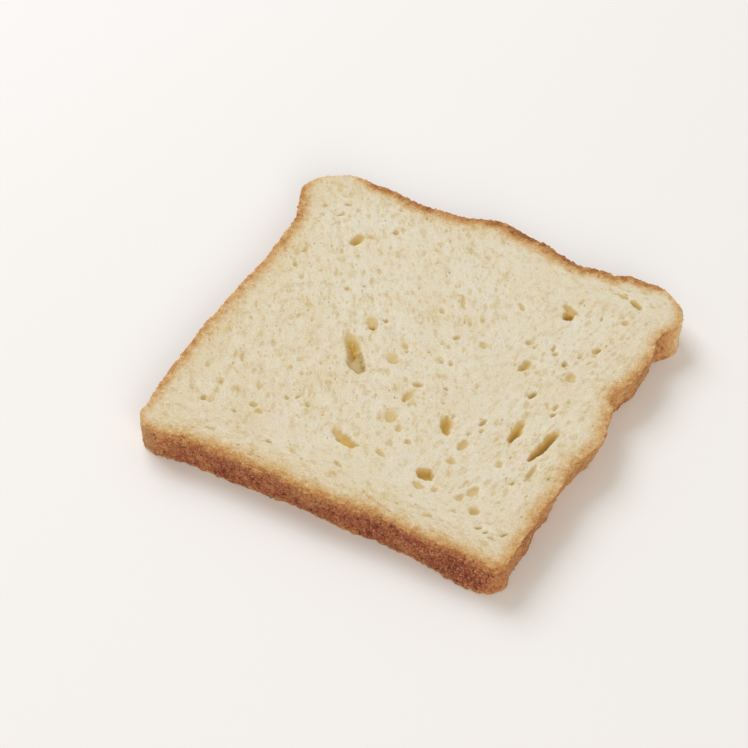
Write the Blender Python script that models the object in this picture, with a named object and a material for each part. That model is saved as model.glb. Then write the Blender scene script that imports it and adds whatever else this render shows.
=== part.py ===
"""One slice of a square sandwich loaf, lying flat on its cut face.

Metres, +Z up. The origin is under the middle of the slice, on the surface it rests on.
-Y is the dark base crust, +Y the thin crust that rose against the tin's lid, and the two
side crusts face -X and +X. The upper cut face looks up.

The outline is a square with round corners. Each swell, dent or crease in it is given by the
side that it is on and its place along that side, so that each can be moved alone. Places are
counted from the middle of the plain square, and the finished slice is then moved until the
middle of its own box is at the origin.
"""

import math
import random
from collections import namedtuple

import bpy
import bmesh
import numpy as np
from mathutils import Matrix

MM = 0.001
CRUMB_SLOT, CRUST_SLOT = range(2)

# Driving dimensions, in millimetres.
SLICE_WIDTH = 117.0        # between the side crusts, along X
SLICE_HEIGHT = 116.8       # between the base crust and the top crust, along Y
THICKNESS = 10.5           # between the two cut faces
CORNER_RADII = (5.0, 4.5, 9.0, 9.0)   # base left, base right, top right, top left
CRUST_STAND_OUT = 0.25     # how far the crust stands out past the knife's two edges
CUT_EDGE_HEIGHT = 0.5      # height over which it does so at each cut face

# Resolution of the solid.
CELLS_PER_SIDE = 18        # faces along one side of a cut face
STEPS_PER_CELL = 4         # crust columns on each of those faces
WALL_LEVELS = (0.28, 0.52, 0.76)      # crust rows between the two rims, as shares of the thickness
SQUARE_CORE = 0.55         # share of a cut face, from its middle, whose faces stay square

# Sides in the order in which the outline runs, anticlockwise seen from above.
BASE, RIGHT, TOP, LEFT = range(4)

# A swell pushes the outline out along its normal, and a negative height draws it in.
# "at" is the place along the side: X on the base and the top, Y on the right and the left.
Swell = namedtuple("Swell", "side at height spread")

OUTLINE_SWELLS = (
    Swell(BASE, -50.0, 1.8, 4.5),
    Swell(BASE, -4.0, 0.8, 5.0),
    Swell(BASE, 20.5, -0.4, 3.0),
    Swell(BASE, 53.0, 0.9, 3.0),
    Swell(RIGHT, -48.0, -1.2, 8.0),
    Swell(RIGHT, -34.0, -0.9, 3.5),
    Swell(RIGHT, -18.0, -0.9, 4.5),
    Swell(RIGHT, -4.0, 2.3, 4.5),
    Swell(RIGHT, 14.2, -2.8, 3.2),
    Swell(RIGHT, 30.0, 0.7, 4.5),
    Swell(RIGHT, 40.0, -1.2, 3.0),
    Swell(RIGHT, 49.0, 2.0, 3.8),
    Swell(TOP, 48.5, 0.8, 2.2),
    Swell(TOP, 42.0, 1.0, 3.0),
    Swell(TOP, 36.0, -1.2, 1.4),
    Swell(TOP, 24.5, -2.0, 5.5),
    Swell(TOP, 5.0, 1.9, 6.5),
    Swell(TOP, -4.5, 3.0, 4.5),
    Swell(TOP, -28.0, -1.1, 7.0),
    Swell(TOP, -40.0, 0.6, 2.5),
    Swell(TOP, -51.5, 0.5, 3.0),
    Swell(LEFT, 47.4, 5.2, 5.2),
    Swell(LEFT, 38.0, 0.9, 4.0),
    Swell(LEFT, 14.0, -0.6, 8.0),
    Swell(LEFT, -18.0, 0.6, 4.0),
    Swell(LEFT, -53.0, -1.4, 7.0),
)

# How far the lower cut face's edge stands out past the upper one's: side by side, and in places.
SIDE_LEANS = (-0.2, -1.8, -0.7, -0.7)     # base, right, top, left
LEAN_BLEND = 6.0           # half the stretch over which the values of two sides meet
LEAN_SWELLS = (
    Swell(BASE, -5.0, -1.6, 6.0),
    Swell(BASE, 46.0, 2.4, 6.5),
    Swell(RIGHT, -46.0, 0.7, 6.0),
    Swell(RIGHT, -20.0, -0.9, 9.0),
    Swell(RIGHT, -2.5, -1.7, 4.5),
    Swell(RIGHT, 13.5, 0.7, 3.0),
    Swell(RIGHT, 44.5, 2.6, 4.0),
    Swell(TOP, 20.0, 0.7, 12.0),
    Swell(LEFT, 44.0, -1.4, 7.0),
    Swell(LEFT, -22.0, -1.0, 13.0),
)

# Creases in the side crusts. They deepen from the upper cut face to the lower one.
CREASES = (
    Swell(RIGHT, 38.5, -1.0, 1.3),
    Swell(RIGHT, 30.5, -0.7, 1.4),
    Swell(RIGHT, 21.0, -0.7, 1.3),
    Swell(RIGHT, 14.0, -0.5, 1.6),
    Swell(RIGHT, -9.5, -0.6, 1.3),
    Swell(RIGHT, -23.5, -0.8, 2.0),
    Swell(RIGHT, -36.0, -0.5, 1.5),
    Swell(LEFT, 36.0, -1.2, 2.0),
    Swell(LEFT, 22.0, -0.8, 1.7),
    Swell(LEFT, 6.0, -0.9, 1.9),
    Swell(LEFT, -12.0, -0.7, 1.6),
    Swell(LEFT, -33.0, -0.9, 1.8),
)

# The crust's own unevenness, the same in every run.
SIDE_ROUGHNESS = (0.12, 0.12, 0.3, 0.12)  # base, right, top, left
ROUGHNESS_SEED = 11

# Large holes in the upper cut face: place of the middle, length, width, depth, and the turn
# of the length from +X in degrees.
Hole = namedtuple("Hole", "x y length width depth turn")

UPPER_HOLES = (
    Hole(-15.8, -6.8, 16.5, 4.6, 4.2, -47),
    Hole(46.9, -12.8, 14.8, 2.2, 3.2, 78),
    Hole(37.8, -11.2, 11.0, 2.0, 2.6, 89),
    Hole(20.4, -19.0, 7.8, 3.0, 3.2, -62),
    Hole(23.5, -38.0, 5.8, 3.5, 3.4, -14),
    Hole(-1.8, -37.0, 8.2, 3.2, 3.2, -16),
    Hole(30.8, 36.2, 4.3, 4.0, 3.2, 20),
    Hole(-37.6, 36.2, 5.2, 3.4, 2.2, 60),
    Hole(28.8, 11.8, 5.2, 3.0, 2.0, 84),
    Hole(-17.4, 6.2, 4.6, 4.0, 1.8, -40),
    Hole(27.5, -23.8, 4.6, 2.3, 1.8, 86),
    Hole(41.2, -43.5, 2.9, 2.6, 2.0, 20),
    Hole(47.8, 49.4, 4.6, 1.5, 1.6, -24),
    Hole(35.8, 2.4, 3.6, 1.7, 1.8, 84),
    Hole(23.8, -42.7, 3.6, 1.9, 1.4, -10),
    Hole(37.8, -37.4, 4.4, 2.0, 1.4, 86),
    Hole(38.3, 18.0, 3.0, 1.7, 1.4, -66),
    Hole(42.6, 14.0, 4.4, 3.0, 1.2, -75),
    Hole(14.6, 13.4, 3.4, 2.4, 1.1, -40),
    Hole(-44.4, -42.5, 2.4, 2.0, 1.2, -30),
    Hole(-28.4, -39.4, 3.4, 2.2, 1.2, -25),
    Hole(48.5, -24.0, 7.6, 1.7, 0.9, 88),
    Hole(5.2, -13.0, 5.2, 4.2, 0.8, -60),
    Hole(4.6, -21.6, 5.6, 4.6, 0.8, -50),
)

# Holes in the lower cut face, drawn by rule: about one to each square of this spacing.
LOWER_HOLE_SPACING = 24.0
LOWER_HOLE_LENGTHS = (2.6, 7.0)
LOWER_HOLE_SLIMNESS = (0.45, 0.8)
LOWER_HOLE_DEPTHS = (1.0, 2.2)
LOWER_HOLE_SEED = 23
REST_SPOT_RADIUS = 12.0    # no hole is drawn nearer the middle, where the slice is measured to rest

HOLE_LIFT = 0.15           # how far a hole's widest level stands off the cut face
LARGE_HOLE = 5.0           # holes at least this long are cut with more facets
HOLE_FACETS = {True: (16, 8), False: (12, 6)}


def clear_scene():
    """Removes every object of the open file."""
    for item in list(bpy.data.objects):
        bpy.data.objects.remove(item)


def direction(angle):
    """Unit vector at an angle from +X."""
    return np.array((math.cos(angle), math.sin(angle)))


def side_frames():
    """Each side's straight start, running direction, outward normal and straight length."""
    half = np.array((SLICE_WIDTH, SLICE_HEIGHT)) / 2
    corners = [half * signs for signs in ((-1, -1), (1, -1), (1, 1), (-1, 1))]
    frames = []
    for side in range(4):
        along = np.round(direction(side * math.pi / 2))
        outward = np.array((along[1], -along[0]))
        start = corners[side] + CORNER_RADII[side] * along
        end = corners[(side + 1) % 4] - CORNER_RADII[(side + 1) % 4] * along
        frames.append((start, along, outward, float((end - start) @ along)))
    return frames


def side_starts():
    """Distance along the outline at which each straight side starts, and the whole length."""
    starts, travelled = [], 0.0
    for side, (_, _, _, length) in enumerate(side_frames()):
        starts.append(travelled)
        travelled += length + CORNER_RADII[(side + 1) % 4] * math.pi / 2
    return starts, travelled


def plain_outline(distances):
    """Points and outward normals of the round-cornered square at distances along it."""
    starts, whole = side_starts()
    distances = np.mod(distances, whole)
    points = np.zeros((len(distances), 2))
    normals = np.zeros((len(distances), 2))
    for side, (start, along, outward, length) in enumerate(side_frames()):
        radius = CORNER_RADII[(side + 1) % 4]
        travel = distances - starts[side]
        straight = (travel >= 0) & (travel <= length)
        points[straight] = start + np.outer(travel[straight], along)
        normals[straight] = outward
        turned = (travel > length) & (travel < length + radius * math.pi / 2)
        turn = (travel[turned] - length) / radius
        normals[turned] = np.outer(np.cos(turn), outward) + np.outer(np.sin(turn), along)
        centre = start + along * length - outward * radius
        points[turned] = centre + radius * normals[turned]
    return points, normals


def place_of(side, at):
    """Distance along the outline of the place that X or Y = at names on a side."""
    starts, _ = side_starts()
    start, along, _, _ = side_frames()[side]
    axis = 0 if side in (BASE, TOP) else 1
    return starts[side] + (at - start[axis]) * along[axis]


def swelling(distances, swells):
    """Sum of the swells' bell curves at distances along the outline."""
    _, whole = side_starts()
    total = np.zeros(len(distances))
    for swell in swells:
        gap = np.mod(distances - place_of(swell.side, swell.at) + whole / 2, whole) - whole / 2
        total += swell.height * np.exp(-gap ** 2 / (2 * swell.spread ** 2))
    return total


def by_side(distances, values):
    """One value to each side, blended evenly from side to side round the corners."""
    _, whole = side_starts()
    corners = corner_middles()
    total = np.zeros(len(distances))
    for side, value in enumerate(values):
        half = np.mod(corners[(side + 1) % 4] - corners[side], whole) / 2
        past_middle = np.mod(distances - corners[side] - half + whole / 2, whole) - whole / 2
        share = (half + LEAN_BLEND - np.abs(past_middle)) / (2 * LEAN_BLEND)
        total += value * np.clip(share, 0, 1)
    return total


def corner_middles():
    """Distance along the outline of the middle of the corner before each side."""
    starts, whole = side_starts()
    return [(starts[side] - CORNER_RADII[side] * math.pi / 4) % whole for side in range(4)]


def column_distances():
    """Distances along the outline of the crust's columns, starting at the base's left corner."""
    _, whole = side_starts()
    corners = corner_middles()
    columns = CELLS_PER_SIDE * STEPS_PER_CELL
    steps = np.arange(columns) / columns
    sides = []
    for side in range(4):
        length = np.mod(corners[(side + 1) % 4] - corners[side], whole)
        sides.append(corners[side] + steps * length)
    return np.concatenate(sides)


def roughness(distances):
    """The crust's random unevenness for one row of columns, by side."""
    draw = random.Random(ROUGHNESS_SEED)
    jitter = np.array([draw.uniform(-1, 1) for _ in distances])
    return jitter * by_side(distances, SIDE_ROUGHNESS)


def crust_row(level, stand_out):
    """Outline points at a share of the thickness, standing out past the cut edges."""
    distances = column_distances()
    points, normals = plain_outline(distances)
    depth = 1 - level
    lean = by_side(distances, SIDE_LEANS) + swelling(distances, LEAN_SWELLS)
    offset = swelling(distances, OUTLINE_SWELLS) + depth * lean
    offset += math.sqrt(depth) * swelling(distances, CREASES)
    offset += roughness(distances) + stand_out
    return points + normals * offset[:, None]


def crust_rows():
    """Every crust row from the lower cut face to the upper one, each with its height."""
    rim = CUT_EDGE_HEIGHT / THICKNESS
    walls = [(level, CRUST_STAND_OUT) for level in (rim, *WALL_LEVELS, 1 - rim)]
    levels = [(0.0, 0.0), *walls, (1.0, 0.0)]
    return [(crust_row(level, stand_out), level * THICKNESS) for level, stand_out in levels]


def outline_centre(rows):
    """Middle of the box round the rows, which becomes the origin."""
    points = np.concatenate([row for row, _ in rows])
    return (points.min(0) + points.max(0)) / 2


def face_grid(rim):
    """Inner points of a cut face: square in the middle, following the outline near the rim."""
    inner = {}
    cells = CELLS_PER_SIDE
    half = np.array((SLICE_WIDTH, SLICE_HEIGHT)) / 2
    for column in range(1, cells):
        for row in range(1, cells):
            u, v = 2 * column / cells - 1, 2 * row / cells - 1
            reach = max(abs(u), abs(v))
            blend = min(max((reach - SQUARE_CORE) / (1 - SQUARE_CORE), 0.0), 1.0)
            blend = blend * blend * (3 - 2 * blend)
            squared = half * (u, v)
            if reach > 0:
                edge = rim_point(rim, u / reach, v / reach)
                squared = (1 - blend) * squared + blend * reach * edge
            inner[column, row] = squared
    return inner


def rim_point(rim, u, v):
    """Outline point in the direction of a place on the unit square's edge."""
    count = CELLS_PER_SIDE * STEPS_PER_CELL
    if v == -1:
        place = (u + 1) / 2
    elif u == 1:
        place = 1 + (v + 1) / 2
    elif v == 1:
        place = 2 + (1 - u) / 2
    else:
        place = 3 + (1 - v) / 2
    place = place * count % len(rim)
    before = int(place)
    share = place - before
    return (1 - share) * rim[before] + share * rim[(before + 1) % len(rim)]


def border_cells():
    """Border cells in outline order: the two grid corners next to each stretch of rim."""
    cells = CELLS_PER_SIDE
    last = cells - 1
    run = [(i, 0) for i in range(cells)] + [(cells, i) for i in range(cells)]
    run += [(cells - i, cells) for i in range(cells)] + [(0, cells - i) for i in range(cells)]
    clamped = [(min(max(x, 1), last), min(max(y, 1), last)) for x, y in run]
    return list(zip(clamped, clamped[1:] + clamped[:1]))


def add_cut_face(shape, rim_verts, rim, height, facing_up):
    """Fills a cut face with square cells and a fan of triangles along its rim."""
    inner = {
        key: shape.verts.new((*point, height)) for key, point in face_grid(rim).items()
    }
    faces = []
    for column in range(1, CELLS_PER_SIDE - 1):
        for row in range(1, CELLS_PER_SIDE - 1):
            corners = ((column, row), (column + 1, row), (column + 1, row + 1), (column, row + 1))
            faces.append([inner[key] for key in corners])
    middle = STEPS_PER_CELL // 2
    for cell, (near, far) in enumerate(border_cells()):
        first = cell * STEPS_PER_CELL
        outer = [rim_verts[(first + step) % len(rim_verts)] for step in range(STEPS_PER_CELL + 1)]
        for step in range(STEPS_PER_CELL):
            apex = inner[near] if step < middle else inner[far]
            faces.append([outer[step], outer[step + 1], apex])
        if near != far:
            faces.append([outer[middle], inner[far], inner[near]])
    for corners in faces:
        face = shape.faces.new(corners if facing_up else corners[::-1])
        face.material_index = CRUMB_SLOT


def slice_mesh():
    """The closed slice without its holes: crust rows joined into walls, and two cut faces."""
    shape = bmesh.new()
    rows = crust_rows()
    centre = outline_centre(rows)
    loops = [
        [shape.verts.new((*point, height)) for point in row] for row, height in rows
    ]
    count = len(loops[0])
    for lower, upper in zip(loops, loops[1:]):
        for column in range(count):
            following = (column + 1) % count
            wall = shape.faces.new(
                (lower[column], lower[following], upper[following], upper[column])
            )
            wall.material_index = CRUST_SLOT
    add_cut_face(shape, loops[0], rows[0][0], 0.0, False)
    add_cut_face(shape, loops[-1], rows[-1][0], THICKNESS, True)
    bmesh.ops.translate(shape, verts=shape.verts, vec=(-centre[0], -centre[1], 0))
    bmesh.ops.scale(shape, verts=shape.verts, vec=(MM, MM, MM))
    mesh = bpy.data.meshes.new("bread_slice")
    shape.to_mesh(mesh)
    shape.free()
    return mesh, centre


def drawn_lower_holes():
    """Holes for the lower cut face: one at a random place in each square of a coarse grid."""
    draw = random.Random(LOWER_HOLE_SEED)
    squares = int(SLICE_WIDTH // LOWER_HOLE_SPACING)
    first = -(squares - 1) * LOWER_HOLE_SPACING / 2
    holes = []
    for column in range(squares):
        for row in range(squares):
            wander = LOWER_HOLE_SPACING / 4
            x = first + column * LOWER_HOLE_SPACING + draw.uniform(-wander, wander)
            y = first + row * LOWER_HOLE_SPACING + draw.uniform(-wander, wander)
            length = draw.uniform(*LOWER_HOLE_LENGTHS)
            width = length * draw.uniform(*LOWER_HOLE_SLIMNESS)
            depth = draw.uniform(*LOWER_HOLE_DEPTHS)
            turn = draw.uniform(0, 180)
            if math.hypot(x, y) > REST_SPOT_RADIUS + length:
                holes.append(Hole(x, y, length, width, depth, turn))
    return holes


def add_hole_cutter(shape, hole, height, side, centre):
    """Adds an ellipsoid whose middle lies on a cut face, so that half of it is a hole."""
    around, down = HOLE_FACETS[hole.length >= LARGE_HOLE]
    place = Matrix.Translation((hole.x - centre[0], hole.y - centre[1], height + side * HOLE_LIFT))
    turn = Matrix.Rotation(math.radians(hole.turn), 4, "Z")
    size = Matrix.Diagonal((hole.length / 2, hole.width / 2, hole.depth + HOLE_LIFT, 1))
    bmesh.ops.create_uvsphere(
        shape,
        u_segments=around,
        v_segments=down,
        radius=1,
        matrix=Matrix.Scale(MM, 4) @ place @ turn @ size,
    )


def hole_cutters(centre):
    """One hidden object that holds the ellipsoids of every hole."""
    shape = bmesh.new()
    for hole in UPPER_HOLES:
        add_hole_cutter(shape, hole, THICKNESS, 1, centre)
    for hole in drawn_lower_holes():
        add_hole_cutter(shape, hole, 0.0, -1, centre)
    bmesh.ops.recalc_face_normals(shape, faces=shape.faces)
    mesh = bpy.data.meshes.new("hole_cutters")
    shape.to_mesh(mesh)
    shape.free()
    cutters = bpy.data.objects.new("hole_cutters", mesh)
    bpy.context.scene.collection.objects.link(cutters)
    cutters.hide_render = True
    cutters.display_type = "WIRE"
    return cutters


def material(name, base_colour, shader_roughness):
    """A plain matte Principled material."""
    made = bpy.data.materials.new(name)
    made.use_nodes = True
    shader = made.node_tree.nodes["Principled BSDF"]
    shader.inputs["Base Color"].default_value = (*base_colour, 1)
    shader.inputs["Roughness"].default_value = shader_roughness
    shader.inputs["Metallic"].default_value = 0.0
    return made


def crumb_material():
    """The pale cream inside of the loaf."""
    return material("crumb", (0.76, 0.66, 0.46), 0.9)


def crust_material():
    """The browned outside of the loaf."""
    return material("crust", (0.34, 0.14, 0.05), 0.75)


def bread_slice():
    """The slice: its solid, its two materials and the holes cut into both cut faces."""
    mesh, centre = slice_mesh()
    mesh.materials.append(crumb_material())
    mesh.materials.append(crust_material())
    piece = bpy.data.objects.new("bread_slice", mesh)
    bpy.context.scene.collection.objects.link(piece)
    cut = piece.modifiers.new("holes", "BOOLEAN")
    cut.operation = "DIFFERENCE"
    cut.solver = "EXACT"
    cut.object = hole_cutters(centre)
    return piece


clear_scene()
bread_slice()
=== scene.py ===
"""Looks of one slice of a square sandwich loaf, lying flat on its cut face.

Shapes are worked out in millimetres about the middle of the plain square that the outline grows
from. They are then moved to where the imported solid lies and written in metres. -Y is the dark base
crust, +Y the crust that rose against the tin's lid, and +X and -X are the side crusts.
"""

import logging
import math
import random
from dataclasses import dataclass, field
from enum import Enum, IntEnum
from typing import NamedTuple

import bpy
import numpy as np
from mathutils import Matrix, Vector
from numpy.typing import NDArray


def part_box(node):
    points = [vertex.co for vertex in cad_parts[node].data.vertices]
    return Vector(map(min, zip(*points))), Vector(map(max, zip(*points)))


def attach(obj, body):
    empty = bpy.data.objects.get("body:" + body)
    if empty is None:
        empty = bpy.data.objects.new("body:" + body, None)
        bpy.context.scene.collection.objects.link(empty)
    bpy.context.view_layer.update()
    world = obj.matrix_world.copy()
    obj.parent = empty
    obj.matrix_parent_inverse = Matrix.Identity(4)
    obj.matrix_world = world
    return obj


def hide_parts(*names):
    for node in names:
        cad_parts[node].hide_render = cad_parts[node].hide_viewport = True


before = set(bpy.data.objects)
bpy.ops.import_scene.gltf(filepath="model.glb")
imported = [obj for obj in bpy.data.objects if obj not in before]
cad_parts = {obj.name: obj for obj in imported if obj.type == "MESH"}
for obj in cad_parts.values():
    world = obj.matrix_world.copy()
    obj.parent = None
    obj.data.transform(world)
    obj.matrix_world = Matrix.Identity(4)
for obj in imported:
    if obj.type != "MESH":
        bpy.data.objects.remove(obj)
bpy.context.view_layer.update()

LOG = logging.getLogger("sandwich_slice")
NODE = "bread_slice"
BODY = "root"
MM = 0.001
TINY = 1e-9
Array = NDArray[np.float64]
Indices = NDArray[np.int64]
Point = Pair = tuple[float, float]
Triple = tuple[float, float, float]
Sides = Tint = tuple[float, float, float, float]
Screen = tuple[int, int, int]
Socket = bpy.types.NodeSocket
Node = bpy.types.Node
Tree = bpy.types.NodeTree
Along = tuple[Socket, Node]


class Side(IntEnum):
    """The four crusts, in the order in which the outline runs, anticlockwise from above."""

    BASE = 0
    RIGHT = 1
    TOP = 2
    LEFT = 3


BASE, RIGHT, TOP, LEFT = Side


class Slot(Enum):
    """The record's material slots."""

    CRUMB = "crumb"
    CRUST = "crust"


class Trait(Enum):
    """What the mesh tells its materials, as one attribute each."""

    TOAST = "toast"        # how far the bread is browned, from 0, pale crumb, to 1, darkest crust
    PIT = "pit"            # how deep a point lies in a hole, from 0 to 1, which sets the holes' painted shade
    UNDERCUT_SHADE = "undercut_shade"  # painted shade on a hole's wall, where it leans back or is torn
    DULL_SHADE = "dull"          # how far a large hole's skin is dulled by painted shade, in place of the golden colour, from 0 to 1
    STRATA = "strata"      # shares of the three directions in which the fine pores run


# ---- Numbers that more than one class works with ----


def smooth_step(low: float, high: float, value: Array) -> Array:
    """S-curve 3t^2 - 2t^3, where t runs from 0 at low to 1 at high, whichever is the larger."""
    t = np.clip((np.asarray(value, float) - low) / (high - low), 0.0, 1.0)
    return t * t * (3.0 - 2.0 * t)


def wavy(x: Array, y: Array, cell: float, seed: int, wrap: float = 0.0) -> Array:
    """Smooth random heights between -1 and 1.

    Random heights stand at the crossings of a square net. Between crossings the height follows
    the s-curve 3t^2 - 2t^3 along both directions of the net.

    Args:
        x, y: Coordinates of each point.
        cell: Width of the net's squares, in the units of x and y.
        seed: Seed of the random heights.
        wrap: Length after which x comes round to its start, or 0 where it doesn't.

    Returns:
        One height for each point.
    """
    net = 512
    around = max(1, round(wrap / cell)) if wrap else net
    step = wrap / around if wrap else cell
    heights = np.random.default_rng(seed).uniform(-1.0, 1.0, (net, max(net, around)))
    across, up = np.asarray(x, float) / step, np.asarray(y, float) / cell
    column, row = np.floor(across).astype(int), np.floor(up).astype(int)
    s, t = smooth_step(0, 1, across - column), smooth_step(0, 1, up - row)
    left, right, low, high = column % around, (column + 1) % around, row % net, (row + 1) % net
    bottom = heights[low, left] * (1 - s) + heights[low, right] * s
    top = heights[high, left] * (1 - s) + heights[high, right] * s
    return bottom * (1 - t) + top * t


def rugged(
    x: Array, y: Array, cell: float, seed: int, wrap: float = 0.0, octaves: int = 3
) -> Array:
    """Sum of wavy heights, each layer with half the cell and half the strength of the one before.

    Args:
        x, y: Coordinates of each point.
        cell: Cell width of the coarsest layer.
        seed: Seed of the coarsest layer. The others take the numbers after it.
        wrap: Length after which x comes round to its start, or 0.
        octaves: Number of layers.

    Returns:
        One height for each point, between -1 and 1.
    """
    total, strengths = np.zeros(np.shape(x)), 0.0
    for layer in range(octaves):
        strength = 0.5 ** layer
        total = total + strength * wavy(x, y, cell * strength, seed + layer, wrap)
        strengths += strength
    return total / strengths


def flaky(along: Array, cell: float, seed: int, wrap: float) -> Array:
    """Saw-tooth heights from 0 to 1, as of flakes that lift slowly and end in a sharp step.

    A flake is 0.5 to 1.5 times the mean length, and 0.2 to 1 high.

    Args:
        along: Place of each point along the row of flakes.
        cell: Mean length of a flake.
        seed: Seed of the flakes' heights and lengths.
        wrap: Length after which the row comes round to its start.

    Returns:
        One height for each point.
    """
    draw = np.random.default_rng(seed)
    count = round(wrap / cell)
    lengths = draw.uniform(0.5, 1.5, count)
    ends = np.cumsum(lengths) * wrap / lengths.sum()
    heights = draw.uniform(0.2, 1.0, count)
    along = np.mod(along, wrap)
    flake = np.minimum(np.searchsorted(ends, along), count - 1)
    starts = ends - np.diff(ends, prepend=0.0)
    return heights[flake] * (along - starts[flake]) / (ends[flake] - starts[flake])


def bell(gap: Array, spread: float) -> Array:
    """Bell curve exp(-gap^2 / (2 * spread^2)), which is 1 in the middle."""
    return np.exp(-gap ** 2 / (2 * spread ** 2))


def line_gap(x: Array, y: Array, start: Point, end: Point) -> Array:
    """Distance from each point to the straight line between two others.

    Args:
        x, y: Coordinates of each point.
        start: One end of the line.
        end: Its other end.

    Returns:
        The distances.
    """
    ahead, aside = end[0] - start[0], end[1] - start[1]
    share = ((x - start[0]) * ahead + (y - start[1]) * aside) / (ahead ** 2 + aside ** 2)
    share = np.clip(share, 0, 1)
    return np.hypot(x - start[0] - share * ahead, y - start[1] - share * aside)


# ---- The outline ----


@dataclass(frozen=True)
class Swell:
    """A bell-shaped change along the outline.

    Attributes:
        side: Crust that its middle is on.
        at: Place along that crust: X on the base and the top, Y on the right and the left.
        height: Change at its middle.
        spread: Distance from its middle to where the bell is steepest.
    """

    side: Side
    at: float
    height: float
    spread: float


def on(side: Side, *bells: Triple) -> tuple[Swell, ...]:
    """Swells of one side, each given by its place, height and spread."""
    return tuple(Swell(side, *bell) for bell in bells)


@dataclass(frozen=True)
class Outline:
    """A round-cornered square whose sides swell out and draw in.

    Attributes:
        width: Between the side crusts.
        height: Between the base crust and the top crust.
        radii: Corner radii: base left, base right, top right, top left.
        blend: Half the stretch over which the values of two sides meet.
        swells: How far the outline stands out, in places.
    """

    width: float = 117.0
    height: float = 116.8
    radii: Sides = (5.0, 4.5, 9.0, 9.0)
    blend: float = 6.0
    swells: tuple[Swell, ...] = (
        *on(BASE, (-50.0, 1.8, 4.5), (-4.0, 0.8, 5.0), (20.5, -0.4, 3.0), (53.0, 0.9, 3.0)),
        *on(
            RIGHT, (-48.0, -1.2, 8.0), (-34.0, -0.9, 3.5), (-18.0, -0.9, 4.5), (-4.0, 2.3, 4.5),
            (14.2, -2.8, 3.2), (30.0, 0.7, 4.5), (40.0, -1.2, 3.0), (49.0, 2.0, 3.8),
        ),
        *on(
            TOP, (48.5, 0.8, 2.2), (42.0, 1.0, 3.0), (36.0, -1.2, 1.4), (24.5, -2.0, 5.5),
            (5.0, 1.9, 6.5), (-4.5, 3.0, 4.5), (-28.0, -1.1, 7.0), (-40.0, 0.6, 2.5),
            (-51.5, 0.5, 3.0),
        ),
        *on(
            LEFT, (47.4, 5.2, 5.2), (38.0, 0.9, 4.0), (14.0, -0.6, 8.0), (-18.0, 0.6, 4.0),
            (-12.0, 0.3, 20.0), (-53.0, -1.4, 7.0),
        ),
    )

    def straights(self) -> list[tuple[Array, Array, Array, float]]:
        """The four straight sides, each between the arcs of two corners.

        Returns:
            Start, running direction, outward normal and length of each.
        """
        half = np.array((self.width, self.height)) / 2
        corners = [half * signs for signs in ((-1, -1), (1, -1), (1, 1), (-1, 1))]
        found = []
        for side in Side:
            turn = side * math.pi / 2
            along = np.round((math.cos(turn), math.sin(turn)))
            outward = np.array((along[1], -along[0]))
            start = corners[side] + self.radii[side] * along
            end = corners[(side + 1) % 4] - self.radii[(side + 1) % 4] * along
            found.append((start, along, outward, float((end - start) @ along)))
        return found

    def starts(self) -> list[float]:
        """Where each straight side starts, along the outline from the base's left end.

        Returns:
            The four distances, then the whole length.
        """
        found, travelled = [], 0.0
        for side, (_, _, _, length) in enumerate(self.straights()):
            found.append(travelled)
            travelled += length + self.radii[(side + 1) % 4] * math.pi / 2
        return [*found, travelled]

    @property
    def whole(self) -> float:
        """Length of the outline."""
        return self.starts()[-1]

    def corner_middles(self) -> list[float]:
        """Distance along the outline of the middle of the corner before each side."""
        starts = self.starts()
        return [(starts[side] - self.radii[side] * math.pi / 4) % starts[-1] for side in Side]

    def columns(self, per_side: int) -> Array:
        """Distances along the outline, evenly spaced from corner middle to corner middle.

        Args:
            per_side: Number of steps on each side.

        Returns:
            4 * per_side distances, starting at the base's left corner.
        """
        middles = self.corner_middles()
        steps = np.arange(per_side) / per_side
        runs = [
            middles[side] + steps * ((middles[(side + 1) % 4] - middles[side]) % self.whole)
            for side in Side
        ]
        return np.concatenate(runs)

    def points(self, distances: Array) -> tuple[Array, Array]:
        """Points of the plain square at distances along it, straight runs joined by arcs.

        Args:
            distances: Distances along the outline.

        Returns:
            The points and their outward normals, one row each.
        """
        starts = self.starts()
        distances = np.mod(distances, starts[-1])
        points, normals = np.zeros((2, len(distances), 2))
        for side, (start, along, outward, length) in enumerate(self.straights()):
            radius = self.radii[(side + 1) % 4]
            travel = distances - starts[side]
            straight = (travel >= 0) & (travel <= length)
            points[straight] = start + np.outer(travel[straight], along)
            normals[straight] = outward
            turned = (travel > length) & (travel < length + radius * math.pi / 2)
            turn = (travel[turned] - length) / radius
            normals[turned] = np.outer(np.cos(turn), outward) + np.outer(np.sin(turn), along)
            points[turned] = start + along * length - outward * radius + radius * normals[turned]
        return points, normals

    def swelling(self, distances: Array, swells: tuple[Swell, ...]) -> Array:
        """Sum of bell curves height * exp(-gap^2 / (2 * spread^2)) along the outline.

        Args:
            distances: Distances along the outline.
            swells: The bells.

        Returns:
            The sum at each distance.
        """
        starts = self.starts()
        whole, total = starts[-1], np.zeros(len(distances))
        for swell in swells:
            start, along, _, _ = self.straights()[swell.side]
            axis = 0 if swell.side in (Side.BASE, Side.TOP) else 1
            middle = starts[swell.side] + (swell.at - start[axis]) * along[axis]
            gap = np.mod(distances - middle + whole / 2, whole) - whole / 2
            total += swell.height * bell(gap, swell.spread)
        return total

    def by_side(self, distances: Array, values: Sides) -> Array:
        """One value to each side, blended evenly from side to side round the corners.

        Args:
            distances: Distances along the outline.
            values: The values of the base, right, top and left.

        Returns:
            The value at each distance.
        """
        whole, middles = self.whole, self.corner_middles()
        total = np.zeros(len(distances))
        for side, value in zip(Side, values):
            half = ((middles[(side + 1) % 4] - middles[side]) % whole) / 2
            past = np.mod(distances - middles[side] - half + whole / 2, whole) - whole / 2
            total += value * np.clip((half + self.blend - np.abs(past)) / (2 * self.blend), 0, 1)
        return total

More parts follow.
